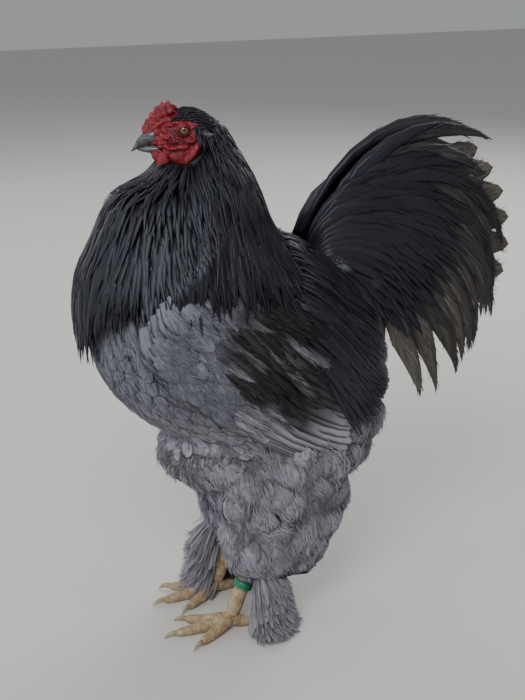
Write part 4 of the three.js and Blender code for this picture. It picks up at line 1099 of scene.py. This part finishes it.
# Crown, cheeks and ear tufts: the smallest feathers of all
def head_coat():
    """Short dark feathers over crown and nape, bristles on the cheeks and a pale tuft over each ear."""
    for word, count in (("crown", 1900), ("bristles", 420), ("tuft", 70)):
        q = scatter(count, 2, 17)
        fore = {"crown": mix(-38, 26, q[:, 0]), "bristles": mix(-16, 26, q[:, 0]),
                "tuft": mix(-17, -11, q[:, 0])}[word]
        turn = {"crown": mix(-115, 115, q[:, 1]),
                "bristles": mix(62, 128, q[:, 1]) * np.where(np.arange(count) % 2, 1, -1),
                "tuft": mix(88, 108, q[:, 1]) * np.where(np.arange(count) % 2, 1, -1)}[word]
        turn = np.radians(turn)
        t = (fore - HEAD_MIDDLE) / HEAD_HALF
        round_ = np.maximum(1 - np.abs(t) ** HEAD_FULL, 0.01) ** (1 / HEAD_FULL)
        out = along(HEAD["wide"], fore) * round_ * np.sin(turn)
        up_at = along(HEAD["mid"], fore) + along(HEAD["tall"], fore) * round_ * np.cos(turn)
        p = on_head(np.stack([fore, out, up_at], -1))
        if word == "crown":
            line = along([(-40, -30), (-22, -8), (-14, 6), (-6, 13), (6, 14), (16, 12.5), (26, 11)], fore)
            comb_gap = np.where(fore > 13, 8.0, 0)
            keep = (up_at > line) & (np.abs(out) > comb_gap)
        elif word == "bristles":
            eye_gap = np.hypot(fore - EYE["fore"], (up_at - EYE["up"]) * 1.15) > 11.5
            keep = eye_gap & (up_at > -24)
        else:
            keep = np.ones(count, bool)
        p, q, fore, turn = p[keep], q[keep], fore[keep], turn[keep]
        n = len(p)
        sizes = {"crown": ((9, 17), (2.2, 4.0), (-1.2, 1.6)),
                 "bristles": ((3.5, 6), (0.5, 0.8), (-0.3, 1.2)),
                 "tuft": ((12, 18), (2.8, 4.2), (0.5, 4.5))}[word]
        long = rng.uniform(*sizes[0],
                           n) * (along([(-40, 1.3), (0, 0.9), (26, 0.55)], fore) if word == "crown" else 1)
        lean = (0.15 if word != "bristles" else 0.5) * rng.standard_normal(n)
        rise = rng.uniform(0.3, 1, n)
        drop = {"crown": -0.35, "bristles": -0.5, "tuft": -0.12}[word]
        back = on_head(np.array([-1.0, 0, drop])) - on_head(np.zeros(3))

        def flow(p):
            """Backwards and a little down."""
            return turned(unit(back + 0 * p), unit(p - on_head(np.array([-5.0, 0, 0]))), lean)

        low, high = sizes[2]
        path, up = grow(skull, p, flow, long, lambda t: low + (high - low) * rise * ease(t * 1.4),
                        LOCK if word != "bristles" else WISP)
        stops = LOCK if word != "bristles" else WISP
        half = pointed(n, stops, rng.uniform(*sizes[1], n), 0.6, 0.4)
        uv = np.stack([0.9 + 0.05 * q[:, 0], 0.3 + 0.1 * q[:, 1]], -1)
        base = {"crown": BLACK * 1.3, "bristles": BLACK * 2, "tuft": LAVENDER * 0.42}[word]

        def colour(i, s, t):
            """One colour, each feather a little lighter or darker."""
            return shade(base + 0 * s[:, None], 1.8, i, 0.3, 12)

        coat("head_" + word, path, up, half, 0.5 if word != "bristles" else 0.4, uv, colour,
             plumage if word == "tuft" else gloss,
             0.1, stops, SECTION if word == "tuft" else HAIR)


# Skin: closed surfaces under the coats, melted into one
def torso_surface(inset):
    """The torso's egg, inset all round."""

    def point(u, v):
        """Round by u, from breast to vent by v."""
        y = mix(BREAST_Y + inset, VENT_Y - inset, 0.5 - 0.5 * np.cos(np.pi * v))
        mid, tall, wide, round_ = body_radii(y)
        return np.stack([(wide - inset) * round_ * np.sin(u), y,
                         mid + (tall - inset) * round_ * np.cos(u)], -1)

    return point


def neck_surface(inset):
    """The neck under the hackle, wide at the shoulders."""

    def point(u, v):
        """Round by u, from the crown down to the shoulders by v."""
        t = 0.5 - 0.5 * np.cos(np.pi * v)
        z = mix(660, 450, t)
        round_ = (1 - np.abs(2 * t - 1) ** 6) ** (1 / 6)
        p = bell_point(u, np.minimum(z, 650), -inset - 9 * ease((z - 585) / 25))
        mid = along(BELL["mid"], z)
        return np.stack([p[..., 0] * round_, mid + (p[..., 1] - mid) * round_, z], -1)

    return point


def skull_surface(inset, bumps=0.0):
    """The head's egg in its own directions, wrinkled a little."""

    def point(u, v):
        """Round by u, from nape to face by v, with a wave on the radius."""
        t = 0.5 - 0.5 * np.cos(np.pi * v)
        fore = mix(-40 + inset, 46 - inset, t)
        round_ = (1 - np.abs(2 * t - 1) ** HEAD_FULL) ** (1 / HEAD_FULL)
        wave = bumps * np.sin(fore * 1.3 + 3 * np.sin(u * 3)) * np.sin(u * 11 + fore * 0.35)
        out = (along(HEAD["wide"], fore) - inset + wave) * round_ * np.sin(u)
        up = along(HEAD["mid"], fore) + (along(HEAD["tall"], fore) - inset + wave) * round_ * np.cos(u)
        return on_head(np.stack([fore, out, up], -1))

    return point


def egg(at, reach, to=None):
    """An ellipsoid: each direction of the unit ball stretched by reach and set at its place, mapped by to."""
    at, reach = np.array(at, float), np.array(reach, float)

    def point(u, v):
        """Round by u, from the upper pole to the lower by v."""
        r = np.sin(np.pi * v)
        way = np.stack([r * np.cos(u), r * np.sin(u), np.cos(np.pi * v)], -1)
        p = at + reach * way
        return p if to is None else to(p)

    return point


def tube(points, radii, flat=1.0, wave=None):
    """A tapering limb along a smooth line through points, round at both ends."""
    points = np.array(points, float)
    at = np.linspace(0, 1, len(points))

    def line(t):
        """The smooth line at t."""
        return np.stack([along(list(zip(at, points[:, i])), t) for i in range(3)], -1)

    def point(u, v):
        """Round the line by u, along it by v; full nearly to the ends, which bulge out a little."""
        t = 0.5 - 0.5 * np.cos(np.pi * v)
        ahead = unit(line(np.minimum(t + 0.02, 1)) - line(np.maximum(t - 0.02, 0)))
        side = np.cross(np.array([0.0, 0, 1]) + 0 * ahead, ahead)
        side = np.where(np.linalg.norm(side, axis=-1, keepdims=True) < 0.05, np.array([1.0, 0, 0]), side)
        side = unit(side - ahead * np.sum(side * ahead, -1, keepdims=True))
        rise = np.cross(ahead, side)
        r = along(list(zip(at, radii)), t)
        if wave is not None:
            r = r * (1 + wave(u, t))
        ring = r * np.sqrt(np.maximum(0, 1 - (2 * t - 1) ** 8))
        reach = r * 0.6 * (2 * t - 1) ** 7
        wide, tall = (ring * np.cos(u))[..., None], (ring * flat * np.sin(u))[..., None]
        return line(t) + side * wide + rise * tall + ahead * reach[..., None]

    return point


def melted(name, parts, voxel, smooth_rounds, material, hoops=()):
    """Several closed surfaces in one object, joined into one skin by a fine remesh and smoothed."""
    points, loops, starts, at, corner = [], [], [], 0, 0
    made = []
    for point, around, rings in parts:
        p = ball(point, around, rings)
        l, s = ball_faces(around, rings)
        made.append((p, outward(p, l, s), s))
    for p, l, s in made + list(hoops):
        points.append(p)
        loops.append(l + at)
        starts.append(s + corner)
        at += len(p)
        corner += len(l)
    obj = mesh_object(name, np.concatenate(points), np.concatenate(loops), np.concatenate(starts))
    join = obj.modifiers.new("join", "REMESH")
    join.mode = "VOXEL"
    join.voxel_size = voxel
    join.use_smooth_shade = True
    soft = obj.modifiers.new("soft", "SMOOTH")
    soft.iterations = smooth_rounds
    soft.factor = 0.5
    return dressed(obj, material)


def body_skin():
    """Torso, neck, belly and thighs under their coats."""
    parts = [(torso_surface(9), 64, 40), (neck_surface(13), 48, 30)]
    parts += [(egg(row[:3], np.array(row[3:]) - 8), 32, 20) for row in FLUFF]
    for side in (1, -1):
        for x, y, z, a, b, c in THIGH:
            parts.append((egg((x * side, y + FOOT_Y[side], z), (a - 8, b - 8, c - 8)), 24, 16))
    skin = melted("body_skin", parts, 0.006, 4, under)
    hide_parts("torso", "neck", "belly", "leg_left", "leg_right")


def hooped(point, around, section):
    """Points, corners and polygon starts of a ring-shaped surface point(u, w), closed both ways."""
    u = np.arange(around) * 2 * np.pi / around
    w = np.arange(section) / section
    uu, ww = np.meshgrid(u, w, indexing="ij")
    points = point(uu.ravel(), ww.ravel())
    i, j = np.meshgrid(np.arange(around), np.arange(section), indexing="ij")
    ii, jj = (i + 1) % around, (j + 1) % section
    quads = np.stack([i * section + j, ii * section + j, ii * section + jj, i * section + jj],
                     -1).reshape(-1, 4)
    loops, starts = quads.ravel(), np.arange(len(quads)) * 4
    return points, outward(points, loops, starts), starts


def eye_point(side, u, angle, r):
    """A point r from the eye's middle, angle away from straight out, at u round that way."""
    fore = EYE["fore"] + r * np.sin(angle) * np.cos(u)
    up = EYE["up"] + r * np.sin(angle) * np.sin(u)
    return on_head(np.stack([fore, side * (EYE["out"] + r * np.cos(angle)), up], -1))


def opening(u, grow=1):
    """Angle of the lids' almond opening at u: an ellipse, wider below than above, times grow."""
    tall = np.where(np.sin(u) > 0, 29, 34)
    return np.radians(grow / np.sqrt((np.cos(u) / 44) ** 2 + (np.sin(u) / tall) ** 2))


def lid(side):
    """The eyelids: a bowl round the eye with an almond opening, closed over its rim."""

    def point(u, w):
        """Outside from the opening's edge to the back, then inside back to the edge, with fine creases."""
        edge = opening(u)
        outside = w < 0.6
        s = np.where(outside, w / 0.6, (1 - w) / 0.4)
        angle = mix(edge, np.radians(100), s)
        crease = 0.32 * np.cos(angle * 34) * ease(s * 5) + 0.45 * np.exp(-((s - 0.05) / 0.07) ** 2)
        r = np.where(outside, 9.0 + crease, 8.2)
        return eye_point(side, u, angle, r)

    return hooped(point, 72, 40)


def eye_rim(side, name):
    """The dark bare edge of the lids round the eye's opening."""

    def point(u, w):
        """A thin ring along the opening."""
        edge = opening(u, 1.06)
        turn = 2 * np.pi * w
        return eye_point(side, u, edge + 0.085 * np.cos(turn), 9.0 + 0.55 * np.sin(turn))

    p, loops, starts = hooped(point, 72, 12)
    piece = mesh_object("eye_rim_" + name, p, loops, starts)
    dressed(piece, rim_skin)


def eyeball(side, name):
    """The eye: dark pupil, orange-brown iris with fine spokes, dark rim."""
    around, rings = 96, 80

    def point(u, v):
        """A ball whose first pole looks straight out."""
        return eye_point(side, u, np.pi * v, 7.95)

    u = np.arange(around) * 2 * np.pi / around
    v = np.linspace(0, 1, rings + 2)
    angle = np.degrees(np.pi * np.concatenate([[0], np.repeat(v[1:-1], around), [1]]))
    turn = np.concatenate([[0], np.tile(u, rings), [0]])
    spokes = 1 + 0.22 * np.sin(turn * 23 + 2 * np.sin(turn * 7)) * ease((angle - 15) / 8)
    inner, outer = np.array([0.2, 0.06, 0.014]), np.array([0.1, 0.022, 0.007])
    colour = mix(inner, outer, ease((angle - 16) / 18)[:, None]) * spokes[:, None]
    colour = mix(np.array([0.002, 0.002, 0.003]), colour, ease((angle - 14.5) / 3)[:, None])
    colour = mix(colour, np.array([0.02, 0.012, 0.01]), ease((angle - 35) / 5)[:, None])
    tint = np.concatenate([colour, np.ones((len(colour), 1))], -1)
    piece = closed("eyeball_" + name, point, around, rings, tint=tint)
    dressed(piece, eye_wet, "eye_" + name)


def beak_half(name, shape, nostrils=False):
    """Half a beak: a tapering closed horn, with a dent for each nostril."""
    length, mid, tall, wide = shape

    def point(u, v):
        """Round from pole to pole; the ridge is sharper than the sides."""
        t = 0.5 - 0.5 * np.cos(np.pi * v)
        fore = mix(*length, t)
        round_ = np.maximum(0, 1 - np.abs(2 * t - 1) ** 4) ** 0.25
        out = along(wide, fore) * round_ * np.sin(u)
        up = along(mid, fore) + along(tall, fore) * round_ * np.cos(u)
        if nostrils:
            dent = np.exp(-(((fore - 45) / 2.6) ** 2) - ((up + 4.5 - 0.25 * (fore - 45)) / 1.1) ** 2)
            out = out * (1 - 0.24 * dent)
        return on_head(np.stack([fore, out, up], -1))

    piece = closed("beak_horn_" + name, point, 96, 90)
    dressed(piece, beak_horn, "beak_" + name)


UPPER_BEAK = ((30, 64), [(30, -4), (42, -6.5), (54, -12), (64, -22.5)],
              [(30, 11), (42, 9.5), (54, 7), (64, 2)],
              [(30, 11), (42, 9.4), (54, 6.2), (64, 1.6)])
LOWER_BEAK = ((27, 57), [(27, -20.5), (42, -20.5), (57, -20)], [(27, 6), (42, 5), (57, 2.2)],
              [(27, 10.5), (42, 7.8), (57, 3)])
FOLDS = [  # fleshy folds of the face: fore, out and up, half sizes
    (33, 10.5, -12, 7, 3.2, 2.2), (26, 13.5, -16, 8, 3.2, 2.4), (16, 17.2, -18.5, 8, 3.2, 2.6),
    (4, 20, -17, 8, 3.0, 3.4),
    (22, 14.5, -6.5, 8, 2.4, 1.8), (15, 17.4, -11, 7, 2.4, 1.6), (33, 9.8, 1, 5, 2.6, 5),
    (24, 13.2, 2.5, 5, 2.6, 5),
    (8, 18.2, 11.5, 9, 2.8, 2.0), (16, 15.5, 8.5, 6, 2.6, 2.2), (-9, 21.5, 5, 5, 2.4, 3.0),
    (-11, 22.2, -4, 3, 2.2, 7), (-4, 21.8, -10.5, 6, 2.2, 2.2),
]
# Throat and wattle lobes, as fore, out and up, then half sizes; the earlobe's line from ear to jaw
THROAT = [(6, 9, -29, 15, 7, 11), (-6, 14, -22, 12, 6, 11), (16, 8, -24, 14, 5, 6)]
WATTLE, WATTLE_INSET = [(33, 8, -27, 5, 8, 8), (27, 11, -36, 4.5, 8, 13), (25, 12, -45, 3.8, 6.5, 9)], 0.4
EARLOBE = [(-16, 21, -10), (-8, 21, -24), (4, 18, -36), (14, 13, -43)]


def comb_parts():
    """Pea comb: three low ridges side by side, each swelling into a row of small knobs, close together."""
    ridge = [(8, 25.5), (14, 27.5), (20, 27), (28, 23), (40, 11.5), (49, 3.2)]
    parts = []
    for out, drop, knobs, thick, phase in ((0, 0, 6, 1.0, 0.2), (5.6, 4.4, 7, 0.76, 0.9),
                                           (-5.6, 4.4, 7, 0.76, 0.5)):
        fore = np.linspace(48.5, 11 + abs(out) * 0.5, 9)
        line = on_head(np.stack([fore, np.full(9, out) * np.linspace(0.6, 1, 9),
                                 along(ridge, fore) - drop], -1))

        def knobbed(u, t, knobs=knobs, phase=phase):
            """Swellings along the ridge and finer wrinkles over them."""
            return 0.15 * np.sin(2 * np.pi * (knobs * t + phase)) + 0.05 * np.sin(t * 61
                                                                                  + 4 * np.sin(u * 3))

        radii = np.array([3.4, 4.6, 5.6, 6.4, 7.0, 7.4, 7.4, 6.6, 5.0]) * thick
        parts.append((tube(line, radii, wave=knobbed), 36, 110))
        below = line - 0.9 * (on_head(np.array([0.0, 0, 1])) - HEAD_AT) * np.linspace(4, 12, 9)[:, None]
        parts.append((tube(below, radii * 0.95), 28, 60))
    return parts


def head():
    """Face, lids, eyes, beak, comb, wattles and earlobes."""
    parts = [(skull_surface(0.3, 0.22), 160, 120)]
    for side in (1, -1):
        parts.append((egg((-15, side * 21.4, -5), (5.5, 2.8, 4.2), on_head), 20, 12))
        for x, y, z, a, b, c in FOLDS:
            parts.append((egg((x, side * y, z), (a, b, c), on_head), 28, 18))
        for x, y, z, a, b, c in THROAT:
            parts.append((egg((x, side * y, z), (a, b, c), on_head), 48, 32))
    face = melted("face_skin", parts, 0.00088, 2, flesh, hoops=[lid(1), lid(-1)])
    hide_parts("head")
    for side, name in ((1, "left"), (-1, "right")):
        eyeball(side, name)
        eye_rim(side, name)
        lobes = []
        for fore, out, up, a, b, c in WATTLE:
            reach = (b - WATTLE_INSET, a - WATTLE_INSET, c - WATTLE_INSET)
            lobes.append((egg((fore, side * out, up), reach, on_head), 60, 44))
        piece = melted("wattle_skin_" + name, lobes, 0.0007, 4, flesh)
        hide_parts("wattle_" + name)
        line = on_head(np.array([(fore, side * out, up) for fore, out, up in EARLOBE], float))

        def pleat(u, t):
            """Shallow folds round the lobe."""
            return 0.05 * np.sin(t * 44 + np.sin(u * 2)) + 0.06 * np.sin(u * 5 + t * 9)

        lobe_piece = closed("earlobe_skin_" + name, tube(line, [3.2, 4.8, 4.8, 2.8], wave=pleat), 48, 90)
        dressed(lobe_piece, flesh, "earlobe_" + name)
    beak_half("upper", UPPER_BEAK, True)
    beak_half("lower", LOWER_BEAK)
    comb = melted("comb_skin", comb_parts(), 0.0008, 2, flesh)
    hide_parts("comb")


# Feet
TOES = (("inner", -34, 58), ("middle", -2, 72), ("outer", 32, 60), ("hind", 168, 34))


def toe_tip(side, y0, turn, long, z):
    """The end of a toe turned from straight ahead towards the outside."""
    a = np.radians(turn) * side
    return (LEG_X * side + np.sin(a) * long, y0 - np.cos(a) * long, z)


def foot(side, name):
    """Shank, spur and toes in plated skin, and four claws."""
    y0 = FOOT_Y[side]

    def plates(count, deep):
        """Scutes along the upper side."""
        return lambda u, t: deep * (np.abs(np.sin(np.pi * count * t)) ** 0.5 - 0.7) * ease(np.sin(u) * 0.5
                                                                                           + 0.55)

    parts = [(tube([(side * 54, y0 + 54, 140), (side * 50, y0 + 24, 74), (LEG_X * side, y0 + 2, 15)],
                   [9.8, 8.8, 10.6],
                   wave=plates(22, 0.15)), 40, 180)]
    parts.append((tube([(side * 44, y0 + 14, 42), (side * 32, y0 + 28, 40)], [5.2, 1.8]), 20, 20))
    for _, turn, long in TOES:
        line = [(LEG_X * side, y0, 13), toe_tip(side, y0, turn, long * 0.55, 7),
                toe_tip(side, y0, turn, long, 5.6)]
        parts.append((tube(line, [9.3, 7.1, 5.6], wave=plates(max(6, long / 4.2), 0.17)), 36, 120))
    skin = melted("foot_skin_" + name, parts, 0.0011, 1, scale_skin)
    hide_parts("foot_" + name)
    for toe, turn, long in TOES:
        line = [toe_tip(side, y0, turn, long, 6.6), toe_tip(side, y0, turn, long + 9, 6),
                toe_tip(side, y0, turn, long + 16.6, 1.6)]
        piece = closed(f"claw_horn_{name}_{toe}", tube(line, [3.5, 2.7, 0.9]), 20, 20)
        dressed(piece, claw_horn, f"claw_{name}_{toe}")


RING_SECTION = np.array(
    [(12.5, -4.2), (12.5, 4.2), (12.2, 4.5), (11.0, 4.5), (10.7, 4.2), (10.7, -4.2), (11.0, -4.5),
     (12.2, -4.5)]
)
RING_TILT, RING_AT = np.radians(-23), np.array([49.5, FOOT_Y[1] + 18.5, 60])


def ring():
    """Green plastic ring on the left shank: a section with cut corners, turned round the bore and tilted."""

    def point(u, w):
        """The section's corner number w times eight, at u round the bore."""
        r, h = RING_SECTION[np.round(w * len(RING_SECTION)).astype(int)].T
        x, y = r * np.cos(u), r * np.sin(u)
        y, z = y * np.cos(RING_TILT) - h * np.sin(RING_TILT), y * np.sin(RING_TILT) + h * np.cos(RING_TILT)
        return np.stack([x, y, z], -1) + RING_AT

    points, loops, starts = hooped(point, 64, len(RING_SECTION))
    dressed(mesh_object("ring", points, loops, starts), ring_green, "leg_band")


body_skin()
head()
head_coat()
ring()
body_coat()
hackle_coat()
saddle_coat()
fluff_coat("belly_down", BELLY_FIELD, [*FLUFF, RUMP_TUFT], 1500, 21, 0.05, 110, 11, 1.08)
for sign, word in ((1, "left"), (-1, "right")):
    foot(sign, word)
    wing(word, sign)
    tail(sign, word)
    fluff_coat("leg_down_" + word, LEG_FIELD[sign], thigh_rows(sign), 1250, 31 + sign,
               0.4 if sign > 0 else 0.8, 95, 12, 1.18)
    foot_coat(sign, word)
for piece, node in (("wing_bow_left", "wing_left"), ("wing_bow_right", "wing_right"),
                    ("saddle_coat", "saddle"),
                    ("sickles_left", "tail"), ("foot_vanes_left", "foot_feathers_left"),
                    ("foot_vanes_right", "foot_feathers_right")):
    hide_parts(node)


# Floor, light and camera
def plane(name, size, z):
    """A level square."""
    mesh = bpy.data.meshes.new(name)
    s = size / 2
    mesh.from_pydata([(-s, -s, z), (s, -s, z), (s, s, z), (-s, s, z)], [], [(0, 1, 2, 3)])
    obj = bpy.data.objects.new(name, mesh)
    bpy.context.scene.collection.objects.link(obj)
    return obj


floor = plane("floor", 14.0, 0.0)
floor.data.materials.append(shader("pale_floor", (0.62, 0.61, 0.59), 0.8))


def area_light(name, at, aim, size, power, colour=(1, 1, 1)):
    """A soft square lamp at a place, turned to what it lights."""
    lamp = bpy.data.lights.new(name, "AREA")
    lamp.size = size
    lamp.energy = power
    lamp.color = colour
    obj = bpy.data.objects.new(name, lamp)
    obj.location = at
    obj.rotation_euler = (Vector(aim) - Vector(at)).to_track_quat("-Z", "Y").to_euler()
    bpy.context.scene.collection.objects.link(obj)
    return obj


area_light("key", (2.2, -1.6, 2.6), (0, 0, 0.35), 1.4, 78, (1.0, 0.97, 0.93))
area_light("fill", (0.4, -3.0, 1.4), (0, 0, 0.35), 2.4, 26, (0.93, 0.96, 1.0))
area_light("back", (-1.8, 2.2, 2.2), (0, 0, 0.4), 1.8, 60)
area_light("side", (-2.6, -1.2, 1.5), (0, 0, 0.35), 2.0, 22)
world = bpy.data.worlds.new("studio")
world.use_nodes = True
world.node_tree.nodes["Background"].inputs["Color"].default_value = (0.78, 0.8, 0.83, 1)
world.node_tree.nodes["Background"].inputs["Strength"].default_value = 0.42
bpy.context.scene.world = world

eye_at = place(np.array([1526.27, -600.71, 903.87]))
look_at = place(np.array([0.0, 62.0, 356.0]))
camera = bpy.data.cameras.new("camera")
camera.lens = 71
camera.sensor_fit = "VERTICAL"
camera.sensor_height = 36
view = bpy.data.objects.new("camera", camera)
view.location = eye_at
view.rotation_euler = (Vector(look_at) - Vector(eye_at)).to_track_quat("-Z", "Y").to_euler()
bpy.context.scene.collection.objects.link(view)
bpy.context.scene.camera = view
